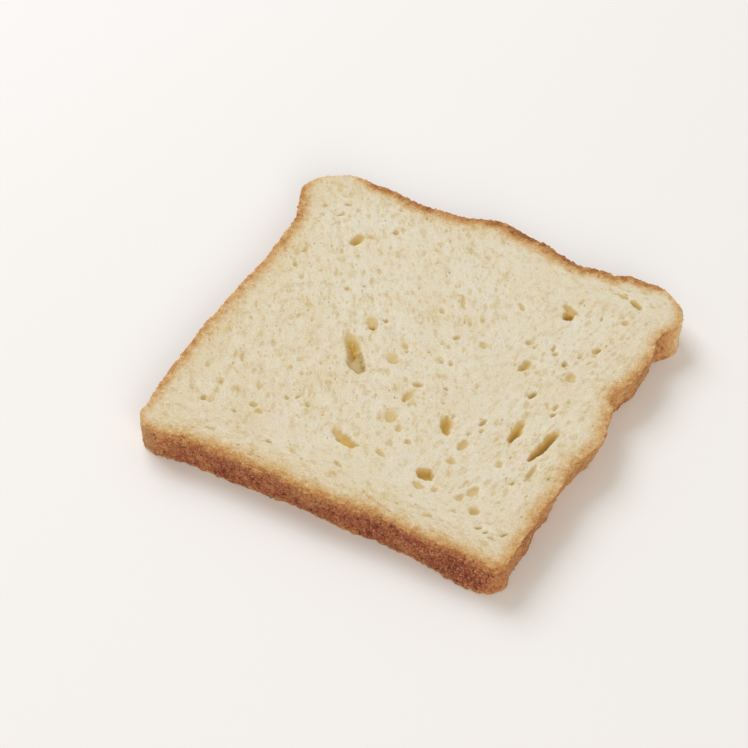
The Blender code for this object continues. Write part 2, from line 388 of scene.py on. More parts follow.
    def swollen(self, distances: Array, values: Sides, swells: tuple[Swell, ...]) -> Array:
        """One value to each side, and its changes in places."""
        return self.by_side(distances, values) + self.swelling(distances, swells)


@dataclass(frozen=True)
class CrustRelief:
    """How the crust leaves the plain outline between the two cut faces.

    Attributes:
        stand_out: How far the crust stands out past the knife's two edges.
        cut_edge: Share of the thickness over which it does so at each edge.
        leans: How far the lower edge stands out past the upper one, side by side.
        lean_swells: The same in places.
        creases: Furrows that deepen from the upper cut face to the lower one.
        grain, grain_cell: Height of the fine grain, side by side, and its cell.
        lumps, lump_cell: Height of the lumps, side by side, and their cell.
        flakes, flake_cell: Height of the flakes, side by side, and their mean length.
        flake_rest: Share of a flake's height that lies below the plain outline.
        flake_drift: How far the flakes shift along the crust from its one edge to the other.
        octaves: Layers of the grain and of the lumps.
        seed: Seed of the grain, the lumps and the flakes.
    """

    stand_out: float = 0.25
    cut_edge: float = 0.07
    leans: Sides = (-0.2, -1.8, -0.7, -0.7)
    lean_swells: tuple[Swell, ...] = (
        *on(BASE, (-5.0, -1.6, 6.0), (46.0, 2.4, 6.5)),
        *on(
            RIGHT, (-46.0, 0.7, 6.0), (-20.0, -0.9, 9.0), (-2.5, -1.7, 4.5), (13.5, 0.7, 3.0),
            (44.5, 2.6, 4.0),
        ),
        *on(TOP, (20.0, 0.7, 12.0)),
        *on(LEFT, (44.0, -1.4, 7.0), (-22.0, -1.0, 13.0)),
    )
    creases: tuple[Swell, ...] = (
        *on(
            RIGHT, (38.5, -1.0, 1.3), (30.5, -0.7, 1.4), (21.0, -0.7, 1.3), (14.0, -0.5, 1.6),
            (-9.5, -0.6, 1.3), (-23.5, -0.8, 2.0), (-36.0, -0.5, 1.5),
        ),
        *on(
            LEFT, (36.0, -1.2, 2.0), (22.0, -0.8, 1.7), (6.0, -0.9, 1.9), (-12.0, -0.7, 1.6),
            (-33.0, -0.9, 1.8),
        ),
    )
    grain: Sides = (0.7, 0.4, 0.42, 0.35)
    grain_cell: float = 0.9
    lumps: Sides = (0.28, 0.25, 0.3, 0.3)
    lump_cell: float = 4.2
    flakes: Sides = (0.0, 0.25, 0.62, 0.35)
    flake_cell: float = 1.9
    flake_rest: float = 0.3
    flake_drift: float = 3.0
    octaves: int = 2
    seed: int = 31

    def offset(self, outline: Outline, distances: Array, level: float, thickness: float) -> Array:
        """How far the crust stands out from the plain outline at one height.

        It is the swells, plus the lean times the depth below the upper cut face, plus the creases
        times the square root of that depth, plus the stand-out of the middle of the crust and
        the random grain, lumps and flakes.

        Args:
            outline: The outline.
            distances: Distances along it.
            level: Height as a share of the thickness.
            thickness: Between the two cut faces.

        Returns:
            The offset along the outward normal at each distance.
        """
        depth, whole = 1.0 - level, outline.whole
        lean = outline.swollen(distances, self.leans, self.lean_swells)
        total = outline.swelling(distances, outline.swells) + depth * lean
        total += math.sqrt(depth) * outline.swelling(distances, self.creases)
        edge = min(level, depth) / self.cut_edge
        total += self.stand_out * (1.0 - max(0.0, 1.0 - edge) ** 2)
        up = np.full(len(distances), level * thickness)
        fine = rugged(distances, up, self.grain_cell, self.seed, whole, self.octaves)
        total += outline.by_side(distances, self.grain) * fine
        coarse = rugged(distances, up, self.lump_cell, self.seed + 10, whole, self.octaves)
        total += outline.by_side(distances, self.lumps) * coarse
        drifted = distances + self.flake_drift * depth
        lifted = flaky(drifted, self.flake_cell, self.seed + 20, whole) - self.flake_rest
        return total + outline.by_side(distances, self.flakes) * lifted


# ---- The crumb's holes ----


@dataclass(frozen=True)
class Hole:
    """One hole of the crumb, a bowl sunk into a cut face.

    Attributes:
        x, y: Place of its middle.
        length: Its longer size across.
        width: Its shorter size across.
        depth: Depth of its bottom.
        turn: Turn of its length from +X, in degrees.
        bend: How far its ends curve sideways, as a share of its width.
        taper: How much wider its far end is, as a share of its width.
        steep: Power of the bowl's wall. 2 is a soft bowl, and 5 has upright walls.
        lip: Power of its mouth. 1 is a sharp edge, and 2 is a rounded one.
        lean: How far its deepest point lies towards the far end, as a share of half its length.
    """

    x: float
    y: float
    length: float
    width: float
    depth: float
    turn: float
    bend: float = 0.0
    taper: float = 0.0
    steep: float = 2.5
    lip: float = 1.0
    lean: float = 0.0

    @property
    def body(self) -> float:
        """Depth that its painted shade goes by."""
        return self.depth

    def sunk(self, x: Array, y: Array, ragged: Array) -> Array:
        """Depth of the bowl: depth * (1 - r^steep)^lip, where r is 1 on the hole's edge.

        Places are taken along over half the length and across over half the width, once the
        bend and the taper have been taken out, so that the hole is a circle of radius 1. With e
        as its deepest point, r is the distance from e over the distance from e to the circle
        in the same direction.

        Args:
            x, y: Coordinates of each point.
            ragged: Unevenness of the edge at each point, added to r in proportion.

        Returns:
            The depth at each point, 0 outside the hole.
        """
        turn = math.radians(self.turn)
        ahead, aside = x - self.x, y - self.y
        along = (ahead * math.cos(turn) + aside * math.sin(turn)) / (self.length / 2)
        across = (aside * math.cos(turn) - ahead * math.sin(turn)) / (self.width / 2)
        across = across - 2 * self.bend * (along ** 2 - 0.5)
        across = across / (1 + self.taper * np.clip(along, -1, 1))
        across, past = across * (1 + ragged), along * (1 + ragged) - self.lean
        gap = np.hypot(past, across) + TINY
        off = self.lean * past / gap
        reach = np.sqrt(np.maximum(off ** 2 + 1 - self.lean ** 2, 0)) - off
        r = np.minimum(gap / reach, 1.0)
        return self.depth * (1 - r ** self.steep) ** self.lip


@dataclass(frozen=True)
class Cavity:
    """A large torn hole with an outline of its own.

    Attributes:
        corners: Points of its outline, in order.
        trench: Ends of the line along which it is deepest.
        depth: Depth along that line.
        shallow: Depth of the rest of its floor.
        fall: Distance from that line over which the floor rises.
        wall: Width of its wall.
        soft_wall: Width of its wall round the line's first end, where it is gentlest.
        soft_reach: How far from that end the wall is so.
        fade: How far past the line's other end the skin turns dull with painted shade.
        core: How dark the painted shade along the line is, from 0 to 1.
        core_half: Half the width of that dark core.
        ridge: Ends of the torn ridge along its wall, beside which shade is painted.
        ridge_half: Half the ridge's width.
    """

    corners: tuple[Point, ...]
    trench: tuple[Point, Point]
    depth: float
    shallow: float
    fall: float
    wall: float
    soft_wall: float
    soft_reach: float
    fade: float
    core: float
    core_half: float
    ridge: tuple[Point, Point]
    ridge_half: float

    @property
    def x(self) -> float:
        """Place of its middle."""
        return sum(corner[0] for corner in self.corners) / len(self.corners)

    @property
    def y(self) -> float:
        """Place of its middle."""
        return sum(corner[1] for corner in self.corners) / len(self.corners)

    @property
    def length(self) -> float:
        """Twice the distance from its middle to its farthest corner."""
        return 2 * max(math.dist(corner, (self.x, self.y)) for corner in self.corners)

    @property
    def body(self) -> float:
        """Depth of most of its floor."""
        return self.shallow

    def inside(self, x: Array, y: Array) -> Array:
        """Distance from each point to the outline, 0 outside it.

        Args:
            x, y: Coordinates of each point.

        Returns:
            The distances.
        """
        gap, within = np.full(np.shape(x), np.inf), np.zeros(np.shape(x), dtype=bool)
        for (x1, y1), (x2, y2) in zip(self.corners, (*self.corners[1:], self.corners[0])):
            gap = np.minimum(gap, line_gap(x, y, (x1, y1), (x2, y2)))
            crossed = (y1 > y) != (y2 > y)
            within ^= crossed & (x < x1 + (x2 - x1) * (y - y1) / (y2 - y1 + TINY))
        return np.where(within, gap, 0.0)

    def sunk(self, x: Array, y: Array, ragged: Array) -> Array:
        """Depth of the floor, times an s-curve across the wall.

        The floor lies at shallow + (depth - shallow) * exp(-(gap / fall)^2), with the gap taken
        from the trench.

        Args:
            x, y: Coordinates of each point.
            ragged: Unevenness of the wall at each point, as a share of its width.

        Returns:
            The depth at each point, 0 outside the cavity.
        """
        gap = line_gap(x, y, *self.trench)
        floor = self.shallow + (self.depth - self.shallow) * np.exp(-(gap / self.fall) ** 2)
        near = np.hypot(x - self.trench[0][0], y - self.trench[0][1]) / self.soft_reach
        wall = self.wall + (self.soft_wall - self.wall) * np.exp(-near ** 2)
        return floor * smooth_step(0, 1, self.inside(x, y) / (wall * (1 + ragged)))

    def dark(self, x: Array, y: Array) -> Array:
        """How much painted shade its skin takes beside the torn ridge and along the trench, from 0
        to 1.

        Either is its own share * exp(-(gap / half its width)^2), and the ridge's share is 1.

        Args:
            x, y: Coordinates of each point.

        Returns:
            The larger of the two.
        """
        ridge = np.exp(-(line_gap(x, y, *self.ridge) / self.ridge_half) ** 2)
        core = np.exp(-(line_gap(x, y, *self.trench) / self.core_half) ** 2)
        return np.maximum(ridge, self.core * core)

    def dull(self, x: Array, y: Array) -> Array:
        """How far painted shade dulls its skin: two s-curves, one along the trench and one across
        the wall.

        Args:
            x, y: Coordinates of each point.

        Returns:
            The dullness, 0 beside the trench and outside, and 1 well past the trench's second end.
        """
        (x1, y1), (x2, y2) = self.trench
        past = ((x - x2) * (x2 - x1) + (y - y2) * (y2 - y1)) / math.dist(*self.trench)
        return smooth_step(0, self.fade, past) * smooth_step(0, self.wall, self.inside(x, y))


def alike(
    steep: float, *rows: tuple[float, ...], lip: float = 1.0, lean: float = 0.0
) -> tuple[Hole, ...]:
    """Holes with the same walls, each row one's place, length, width, depth and turn."""
    return tuple(Hole(*row, steep=steep, lip=lip, lean=lean) for row in rows)


SHOWN_HOLES = (
    # The largest hole: long and shallow, deeper in its upper half, with a torn edge beside it. Shade
    # is painted along its deepest line and beside that edge.
    Cavity(
        corners=(
            (-23.1, -0.7), (-22.4, -3.4), (-20.4, -6.3), (-17.8, -9.2), (-16.6, -11.7),
            (-14.0, -13.2), (-10.8, -14.3), (-9.0, -11.6), (-11.8, -8.4), (-13.8, -5.0),
            (-15.4, -2.6), (-18.0, 0.0), (-20.8, 0.9),
        ),
        trench=((-18.6, -4.2), (-17.0, -6.4)),
        depth=5.2, shallow=1.15, fall=2.4, wall=0.9, soft_wall=6.0, soft_reach=5.5,
        fade=4.0, core=0.8, core_half=1.7,
        ridge=((-14.4, -6.2), (-10.9, -11.0)), ridge_half=0.65,
    ),
    Hole(47.1, -13.2, 15.6, 2.9, 3.1, 81, taper=0.25, steep=2.6, lip=1.1),
    Hole(20.1, -19.2, 8.0, 2.6, 2.6, -62, bend=0.2, steep=3.0),
    Hole(20.8, -18.5, 7.8, 3.8, 0.8, -62, bend=0.1, steep=2.0, lip=1.6),
    Hole(-2.6, -36.9, 10.6, 3.3, 1.9, -20, bend=0.2, taper=0.3, steep=2.6, lip=1.1, lean=0.4),
    Hole(5.8, -13.9, 6.8, 3.6, 1.2, -112, bend=0.2, steep=2.0, lip=2.0, lean=0.6),
    Hole(38.1, -11.6, 11.6, 3.1, 2.7, -88, steep=2.0, lip=1.6, lean=0.3),
    Hole(23.5, -38.0, 5.8, 3.6, 2.5, -14, steep=5.0),
    Hole(30.9, 35.9, 4.0, 3.6, 3.6, 100, steep=3.5),
    Hole(30.5, 38.2, 6.4, 2.2, 1.6, -12, steep=2.0, lip=1.2),
    Hole(-37.9, 35.0, 7.6, 4.2, 2.0, -101, steep=1.8, lip=2.2, lean=0.3),
    Hole(-34.9, 37.4, 5.6, 2.6, 0.6, 18, steep=2.0, lip=1.8),
    Hole(-17.8, 6.2, 7.4, 4.6, 1.3, -43, steep=2.0, lip=2.0, lean=0.6),
    Hole(-16.3, 4.7, 2.8, 2.4, 2.2, -40, steep=2.2, lip=1.3),
    Hole(46.2, 49.2, 5.6, 1.8, 2.2, -20, steep=2.4, lip=1.2, lean=0.35),
    Hole(4.6, -22.6, 7.0, 5.6, 1.0, -76, steep=2.0, lip=2.0, lean=0.65),
    Hole(-5.0, 3.0, 5.0, 2.6, 0.8, -46, steep=2.0, lip=1.9, lean=0.6),
    Hole(-5.9, -3.2, 7.4, 5.0, 0.9, -44, steep=2.0, lip=2.2, lean=0.6),
    Hole(46.5, 41.0, 3.4, 2.9, 0.8, 80, steep=2.4, lip=1.5),
    *alike(
        3.0, (28.8, 11.8, 5.2, 3.0, 1.5, 84), (27.5, -23.8, 4.8, 3.0, 1.0, 86),
        (41.2, -43.5, 3.1, 2.7, 1.1, 20), (35.8, 2.6, 3.6, 1.7, 1.4, 84),
        (23.7, -42.6, 4.2, 2.6, 0.8, -10), (38.3, 18.0, 3.0, 1.7, 1.2, -66),
    ),
    *alike(
        2.6, (28.5, -13.5, 3.0, 1.6, 1.0, 85), (27.5, -30.3, 3.0, 2.6, 0.7, 0),
        (13.8, -7.0, 1.7, 1.2, 0.9, -30), (-14.0, 8.5, 1.5, 1.2, 1.0, -40),
    ),
    *alike(
        2.5, (37.8, -37.5, 5.4, 2.9, 0.8, 86), (-44.5, -42.5, 2.4, 2.0, 1.0, -30),
        (-34.0, -42.8, 2.0, 1.3, 0.8, -20), (10.5, 2.0, 1.7, 1.2, 0.8, -60),
        (43.5, 1.5, 3.2, 1.4, 0.8, 85), (44.2, -1.5, 3.0, 1.4, 0.8, 85),
        (35.5, -41.0, 3.4, 2.5, 0.65, 70),
    ),
    *alike(
        2.4, (7.0, 12.5, 2.6, 2.0, 0.8, 70), (40.0, 39.5, 2.0, 1.1, 0.8, 80),
        (13.7, -29.8, 2.7, 2.0, 0.8, -40), (28.5, -42.0, 2.6, 1.9, 0.6, 30),
        (39.5, -25.0, 3.4, 2.4, 0.65, 80), (46.0, -29.5, 2.0, 1.2, 0.8, 80),
        (53.5, -23.5, 1.6, 1.0, 0.9, 80), (-47.5, 42.0, 3.0, 1.5, 0.8, 65),
        (-48.0, 46.5, 1.8, 1.4, 0.8, 0), (-54.0, 43.0, 2.6, 1.1, 0.8, 75),
        (-49.0, 16.5, 2.0, 1.3, 0.8, -60), (-30.5, 15.0, 2.0, 1.4, 0.8, -60),
    ),
    *alike(
        2.3, (0.5, -46.0, 3.6, 1.6, 0.8, -15), (-43.0, -24.0, 4.0, 1.1, 0.8, -62),
        (-17.5, -31.0, 3.2, 1.1, 0.8, -25), (-24.0, -31.5, 2.2, 1.5, 0.8, -35),
        (-20.0, -48.0, 2.2, 1.1, 0.9, -15),
    ),
    *alike(
        2.2, (42.6, 14.0, 4.4, 3.0, 0.9, -75), (14.6, 13.4, 3.4, 2.8, 0.8, -40),
        (-28.4, -39.5, 3.2, 2.2, 0.8, -25), (48.5, -24.0, 8.0, 1.6, 1.0, 88),
        (9.0, -26.5, 3.2, 2.5, 0.8, -50), (9.0, -37.0, 5.0, 1.6, 0.8, -25),
        (-43.5, -34.5, 3.2, 1.5, 0.9, -62),
    ),
    *alike(
        2.0, (-31.0, -38.2, 3.0, 2.0, 0.9, -25), (17.5, 32.5, 4.2, 1.8, 0.8, -50),
        (1.8, 26.0, 7.4, 1.6, 0.8, -58),
    ),
    *alike(
        2.2, (6.0, -9.2, 4.0, 2.3, 1.0, 27), (47.5, -48.5, 2.6, 1.7, 0.8, 40),
        (45.0, -48.0, 2.3, 1.6, 0.8, 30), (52.0, -47.0, 2.2, 1.3, 0.7, 60),
        lip=1.2,
    ),
    *alike(
        2.0, (26.0, 21.0, 4.2, 3.0, 0.9, -110), (34.5, 20.5, 3.0, 2.2, 0.9, -100),
        (41.0, 23.0, 3.2, 2.0, 0.8, -100),
        lip=1.6, lean=0.4,
    ),
)


@dataclass(frozen=True)
class Strata:
    """The directions in which the crumb's pores are drawn out, as the dough rose and was pressed.

    Attributes:
        slant: Turn of the pores in the left and the middle, in degrees.
        upright: Turn of the pores near the right crust.
        level: Turn of the pores near the base crust and under the right half of the lid.
        right: X from which, and by which, the pores turn upright.
        low: Y from which, and by which, they turn level towards the base crust.
        high: The same towards the lid.
        lid: X from which, and by which, those under the lid do so.
    """

    slant: float = -57.0
    upright: float = -93.0
    level: float = -8.0
    right: Pair = (8.0, 36.0)
    low: Pair = (-38.0, -50.0)
    high: Pair = (42.0, 52.0)
    lid: Pair = (-10.0, 20.0)

    def shares(self, x: Array, y: Array) -> Array:
        """Shares of the slant, upright and level directions, one row of three to each point.

        Args:
            x, y: Coordinates of each point.

        Returns:
            Three shares in each row, which add up to 1.
        """
        under_lid = smooth_step(*self.high, y) * smooth_step(*self.lid, x)
        flat = np.maximum(smooth_step(*self.low, y), under_lid)
        upright = (1 - flat) * smooth_step(*self.right, x)
        return np.stack((1 - flat - upright, upright, flat), axis=-1)

    def turns(self, x: Array, y: Array) -> Array:
        """Turn at each point: the shares blend the directions as doubled angles.

        Args:
            x, y: Coordinates of each point.

        Returns:
            The turns in degrees.
        """
        doubled = np.radians(2 * np.array((self.slant, self.upright, self.level)))
        shares = self.shares(x, y)
        return np.degrees(np.arctan2(shares @ np.sin(doubled), shares @ np.cos(doubled))) / 2


@dataclass(frozen=True)
class PoreDraw:
    """A rule that scatters pores over a cut face.

    Attributes:
        count: Number of tries. A try is kept with the chance that the crowding gives its place.
        lengths: Shortest and longest.
        slimness: Least and most share of the length that the width is.
        depths: Least and most share of the width that the depth is.
        steep: Power of the bowl's wall.
        lip: Power of its mouth.
        reach: Half the size of the square that they lie in.
        seed: Seed of the draw.
        crowding: Chance that a try is kept.
        right: What the right crust adds to it, and X from which, and by which, it does.
        low: What the base crust adds to it, and Y from which, and by which, it does.
        sway: Spread of the pores' turns about the strata, in degrees.
        bend: Greatest bend.
        taper: Greatest taper.
        leans: Least and greatest lean.
    """

    count: int
    lengths: Pair
    slimness: Pair
    depths: Pair
    steep: float
    lip: float
    reach: float
    seed: int
    crowding: float = 0.5
    right: Triple = (0.25, -20.0, 40.0)
    low: Triple = (0.1, 0.0, -30.0)
    sway: float = 16.0
    bend: float = 0.25
    taper: float = 0.4
    leans: Pair = (0.2, 0.8)

    def holes(self, strata: Strata) -> list[Hole]:
        """The pores, each turned with the strata at its place. Long and deep ones are rare.

        Args:
            strata: The directions of the pores.

        Returns:
            The pores as holes.
        """
        draw = np.random.default_rng(self.seed)
        x, y = draw.uniform(-self.reach, self.reach, (2, self.count))
        crowding = self.crowding + self.right[0] * smooth_step(*self.right[1:], x)
        crowding += self.low[0] * smooth_step(*self.low[1:], y)
        kept = draw.uniform(0, 1, self.count) < crowding
        size = draw.uniform(0, 1, self.count) ** 2
        length = self.lengths[0] + (self.lengths[1] - self.lengths[0]) * size
        width = length * draw.uniform(*self.slimness, self.count)
        share = draw.uniform(0, 1, self.count) ** 3
        depth = width * (self.depths[0] + (self.depths[1] - self.depths[0]) * share)
        turn = strata.turns(x, y) + draw.normal(0, self.sway, self.count)
        bend = draw.uniform(-self.bend, self.bend, self.count)
        taper = draw.uniform(-self.taper, self.taper, self.count)
        lean = draw.uniform(*self.leans, self.count)
        rows = np.stack((x, y, length, width, depth, turn, bend, taper), axis=1)
        return [
            Hole(*row, steep=self.steep, lip=self.lip, lean=float(tip))
            for row, tip in zip(rows[kept], lean[kept])
        ]


@dataclass(frozen=True)
class RestHoles:
    """The larger holes of the face that the slice rests on, at most one to each square of a net.

    Attributes:
        across: Width of the net.
        spacing: Width of its squares.
        lengths: Shortest and longest.
        slimness: Least and most share of the length that the width is.
        depths: Least and most depth.
        bare: Radius round the middle that has none.
        steep: Power of the bowl's wall.
        lip: Power of its mouth.
        seed: Seed of the draw.
    """

    across: float = 117.0
    spacing: float = 24.0
    lengths: Pair = (2.6, 7.0)
    slimness: Pair = (0.45, 0.8)
    depths: Pair = (1.0, 2.2)
    bare: float = 12.0
    steep: float = 2.0
    lip: float = 0.7
    seed: int = 23

    def holes(self, strata: Strata) -> list[Hole]:
        """The holes, each up to a quarter of a square from its square's middle.

        Args:
            strata: The directions of the pores, which these few large holes don't follow.

        Returns:
            The holes.
        """
        draw = random.Random(self.seed)
        squares = int(self.across // self.spacing)
        first, wander = -(squares - 1) * self.spacing / 2, self.spacing / 4
        found = []
        for column in range(squares):
            for row in range(squares):
                x = first + column * self.spacing + draw.uniform(-wander, wander)
                y = first + row * self.spacing + draw.uniform(-wander, wander)
                length = draw.uniform(*self.lengths)
                width = length * draw.uniform(*self.slimness)
                depth, turn = draw.uniform(*self.depths), draw.uniform(0, 180)
                if math.hypot(x, y) > self.bare + length:
                    found += alike(self.steep, (x, y, length, width, depth, turn), lip=self.lip)
        return found


@dataclass(frozen=True)
class CutFace:
    """The open crumb that the knife left. Each unevenness has a seed of its own, some tens on.

    Attributes:
        shown: Holes with a place of their own.
        draws: Rules for the others.
        strata: The directions of the pores.
        sag, sag_cell: Height of the face's broad unevenness, and its cell.
        tear, tear_cell: Height of the crumb's fine roughness, and its cell.
        ragged, ragged_cell: Unevenness of the holes' edges, and its cell.
        waver, waver_cell: How far the holes' shapes are pushed about, and the cell of that.
        pit_scale: Depth at which a hole's painted shade is full.
        under: Way in which the holes reach under the crumb, in degrees from +X.
        under_step: Distance over which that is read.
        under_drop: Drop over that distance at which a wall leans back wholly and takes the full
            painted shade.
        octaves: Layers of the fine unevenness.
        seed: Seed of the unevenness.
    """

    shown: tuple[Hole | Cavity, ...]
    draws: tuple[PoreDraw | RestHoles, ...]
    strata: Strata = field(default_factory=Strata)
    sag: float = 0.12
    sag_cell: float = 17.0
    tear: float = 0.05
    tear_cell: float = 1.5
    ragged: float = 0.18
    ragged_cell: float = 1.1
    waver: float = 0.4
    waver_cell: float = 2.0
    pit_scale: float = 2.0
    under: float = -64.0
    under_step: float = 0.5
    under_drop: float = 0.9
    octaves: int = 2
    seed: int = 71

    def holes(self) -> list[Hole | Cavity]:
        """The face's holes.

        Returns:
            Those with a place of their own, and then the drawn ones.
        """
        found = list(self.shown)
        for draw in self.draws:
            found += draw.holes(self.strata)
        return found

    def bowls(self, x: Array, y: Array) -> tuple[Array, Array]:
        """Depth of the deepest hole at each point, and the depth that the painted shade goes by.

        The latter is the depth, times the square root of the hole's body over the pit scale where
        that is above 1, as the painted shade of a deep hole starts nearer its mouth.

        Args:
            x, y: Coordinates of each point.

        Returns:
            The two depths at each point, 0 between the holes.
        """
        ragged = self.ragged * self.fine(x, y, self.ragged_cell, 0)
        bent_x = x + self.waver * self.fine(x, y, self.waver_cell, 30)
        bent_y = y + self.waver * self.fine(x, y, self.waver_cell, 40)
        sunk, toned = np.zeros((2, *np.shape(x)))
        for hole in self.holes():
            near = (np.abs(x - hole.x) < hole.length) & (np.abs(y - hole.y) < hole.length)
            bowl = hole.sunk(bent_x[near], bent_y[near], ragged[near])
            sunk[near] = np.maximum(sunk[near], bowl)
            strength = math.sqrt(max(1.0, hole.body / self.pit_scale))
            toned[near] = np.maximum(toned[near], bowl * strength)
        return sunk, toned

    def fine(self, x: Array, y: Array, cell: float, tens: int) -> Array:
        """Fine unevenness from -1 to 1, in cells of one width, with the seed so many tens on."""
        return rugged(x, y, cell, self.seed + tens, octaves=self.octaves)

    def uneven(self, x: Array, y: Array) -> Array:
        """Depth of the face itself, between its holes."""
        broad = self.sag * (1 + rugged(x, y, self.sag_cell, self.seed + 10)) / 2
        return broad + self.tear * (1 + self.fine(x, y, self.tear_cell, 20)) / 2

    def undercut_shade(self, x: Array, y: Array, sunk: Array) -> Array:
        """How much painted shade the holes' walls take.

        A wall takes painted shade by its drop over the step in the way that the holes reach, as a
        share of the full drop. The cavities' own painted shade counts, where that is more.

        Args:
            x, y: Coordinates of each point.
            sunk: Depth of the deepest hole at each point.

        Returns:
            Shares from 0 to 1.
        """
        turn = math.radians(self.under)
        step_x, step_y = self.under_step * math.cos(turn), self.under_step * math.sin(turn)
        ahead, _ = self.bowls(x + step_x, y + step_y)
        found = np.clip((sunk - ahead) / self.under_drop, 0, 1)
        for cavity in self.cavities():
            found = np.maximum(found, cavity.dark(x, y))
        return found

    def cavities(self) -> list[Cavity]:
        """The holes with outlines of their own."""
        return [hole for hole in self.shown if isinstance(hole, Cavity)]

    def dull(self, x: Array, y: Array) -> Array:
        """How far painted shade dulls the skin of the cavities.

        Args:
            x, y: Coordinates of each point.

        Returns:
            The dullness at each point, from 0 to 1.
        """
        found = np.zeros(np.shape(x))
        for cavity in self.cavities():
            found = np.maximum(found, cavity.dull(x, y))
        return found

    def pit(self, toned: Array) -> Array:
        """How deep a point lies in a hole, from 0 to 1, where its painted shade is full."""
        return np.clip(toned / self.pit_scale, 0, 1)


# ---- The browning ----


@dataclass(frozen=True)
class WarmPatch:
    """A bell-shaped patch of warmer crumb: where it is, how much it adds, and its spread."""

    x: float
    y: float
    height: float
    spread: float


@dataclass(frozen=True)
class Browning:
    """How far each part of the slice is browned, from 0, pale crumb, to 1, darkest crust.

    Attributes:
        rims: Browning of the cut faces at the very edge, side by side.
        rim_swells: Changes of it, in places.
        bands: Width of the golden band there, side by side.
        band_swells: Changes of that width, in places.
        band_waver: Unevenness of that width, as a share of it, its cell and its layers.
        fades: Power of the band's fading, side by side. The higher, the sharper its inner edge.
        wrinkles: Unevenness of the rim's browning, as a share of it, side by side.
        wrinkle_cell, wrinkle_octaves: Width of its wrinkles, and their layers.
        glows: Faint browning further in, side by side.
        glow_reach: How far in that goes.
        warm: Patches of warmer crumb.
        walls: Browning of the crusts, side by side.
        wall_swells: Changes of it, in places.
        pale_above: How much paler the crusts are at the knife's upper edge, side by side.
        pale_below: The same at the lower edge.
        pale_reach: Share of the thickness that those paler edges take up, above and below.
        patches, patch_cell: Strength of the crusts' random patches, and their width.
        seed: Seed of the bands. The patches' and the wrinkles' are 10 and 20 on.
    """

    rims: Sides = (0.53, 0.42, 0.65, 0.38)
    rim_swells: tuple[Swell, ...] = (
        *on(BASE, (-57.0, -0.12, 5.0)),
        *on(RIGHT, (42.0, -0.12, 7.0), (20.0, 0.02, 7.0), (-46.0, -0.05, 8.0)),
        *on(TOP, (54.0, -0.3, 4.0), (-53.0, -0.38, 4.5)),
        *on(LEFT, (53.0, -0.22, 4.0), (38.0, 0.05, 4.0), (-8.0, -0.1, 9.0), (-56.0, -0.14, 5.0)),
    )
    bands: Sides = (2.4, 2.6, 3.0, 2.9)
    band_swells: tuple[Swell, ...] = (
        *on(BASE, (-48.0, -0.5, 9.0), (46.0, -0.4, 6.0)),
        *on(RIGHT, (42.0, -0.7, 8.0), (20.0, 0.4, 6.0), (-44.0, -0.3, 8.0)),
        *on(TOP, (54.0, -1.5, 4.0), (0.0, 0.9, 7.0), (-53.0, -1.9, 4.5)),
        *on(LEFT, (54.0, -1.4, 4.0), (-32.0, -0.6, 10.0), (-56.0, -0.9, 5.0)),
    )
    band_waver: tuple[float, float, int] = (0.3, 6.0, 4)
    fades: Sides = (1.35, 1.5, 2.4, 2.2)
    wrinkles: Sides = (0.3, 0.6, 0.35, 0.5)
    wrinkle_cell: float = 1.7
    wrinkle_octaves: int = 2
    glows: Sides = (0.09, 0.05, 0.04, 0.08)
    glow_reach: float = 8.0
    warm: tuple[WarmPatch, ...] = (
        WarmPatch(-42.0, -18.0, 0.035, 17.0),
        WarmPatch(-30.0, -36.0, 0.03, 13.0),
    )
    walls: Sides = (0.77, 0.48, 0.68, 0.52)
    wall_swells: tuple[Swell, ...] = (
        *on(BASE, (-59.0, -0.34, 4.5), (36.0, 0.05, 16.0)),
        *on(
            RIGHT, (-42.0, 0.12, 9.0), (0.0, -0.08, 7.0), (20.0, 0.06, 8.0), (38.0, 0.1, 3.5),
            (51.0, -0.36, 5.0),
        ),
        *on(LEFT, (-57.0, -0.1, 4.0)),
    )
    pale_above: Sides = (0.22, -0.08, 0.1, 0.08)
    pale_below: Sides = (0.3, 0.08, 0.2, 0.2)
    pale_reach: Pair = (0.24, 0.14)
    patches: float = 0.17
    patch_cell: float = 5.0
    seed: int = 91

    def of_face(self, outline: Outline, inward: Array, distances: Array) -> Array:
        """Browning of a cut face: rim * exp(-(inward / band)^fade), plus a wider, faint glow.

        The rim's and the band's unevenness is random. The glow falls as exp(-(inward / reach)^2).

        Args:
            outline: The outline.
            inward: Distance of each point from the edge of the face.
            distances: Place along the outline of the nearest point of the edge.

        Returns:
            The browning at each point.
        """
        whole = outline.whole
        rim = outline.swollen(distances, self.rims, self.rim_swells)
        octaves = self.wrinkle_octaves
        wrinkled = rugged(distances, inward, self.wrinkle_cell, self.seed + 20, whole, octaves)
        rim = rim * (1 + outline.by_side(distances, self.wrinkles) * wrinkled)
        band = outline.swollen(distances, self.bands, self.band_swells)
        waver, cell, octaves = self.band_waver
        band = band * (1 + waver * rugged(distances, inward, cell, self.seed, whole, octaves))
        fade = outline.by_side(distances, self.fades)
        glow = outline.by_side(distances, self.glows) * np.exp(-(inward / self.glow_reach) ** 2)
        return rim * np.exp(-(inward / band) ** fade) + glow

    def warmth(self, x: Array, y: Array) -> Array:
        """Browning that the warm patches add, each its height times a bell curve.

        Args:
            x, y: Coordinates of each point.

        Returns:
            The sum at each point.
        """
        total = np.zeros(np.shape(x))
        for patch in self.warm:
            total += patch.height * bell(np.hypot(x - patch.x, y - patch.y), patch.spread)
        return total

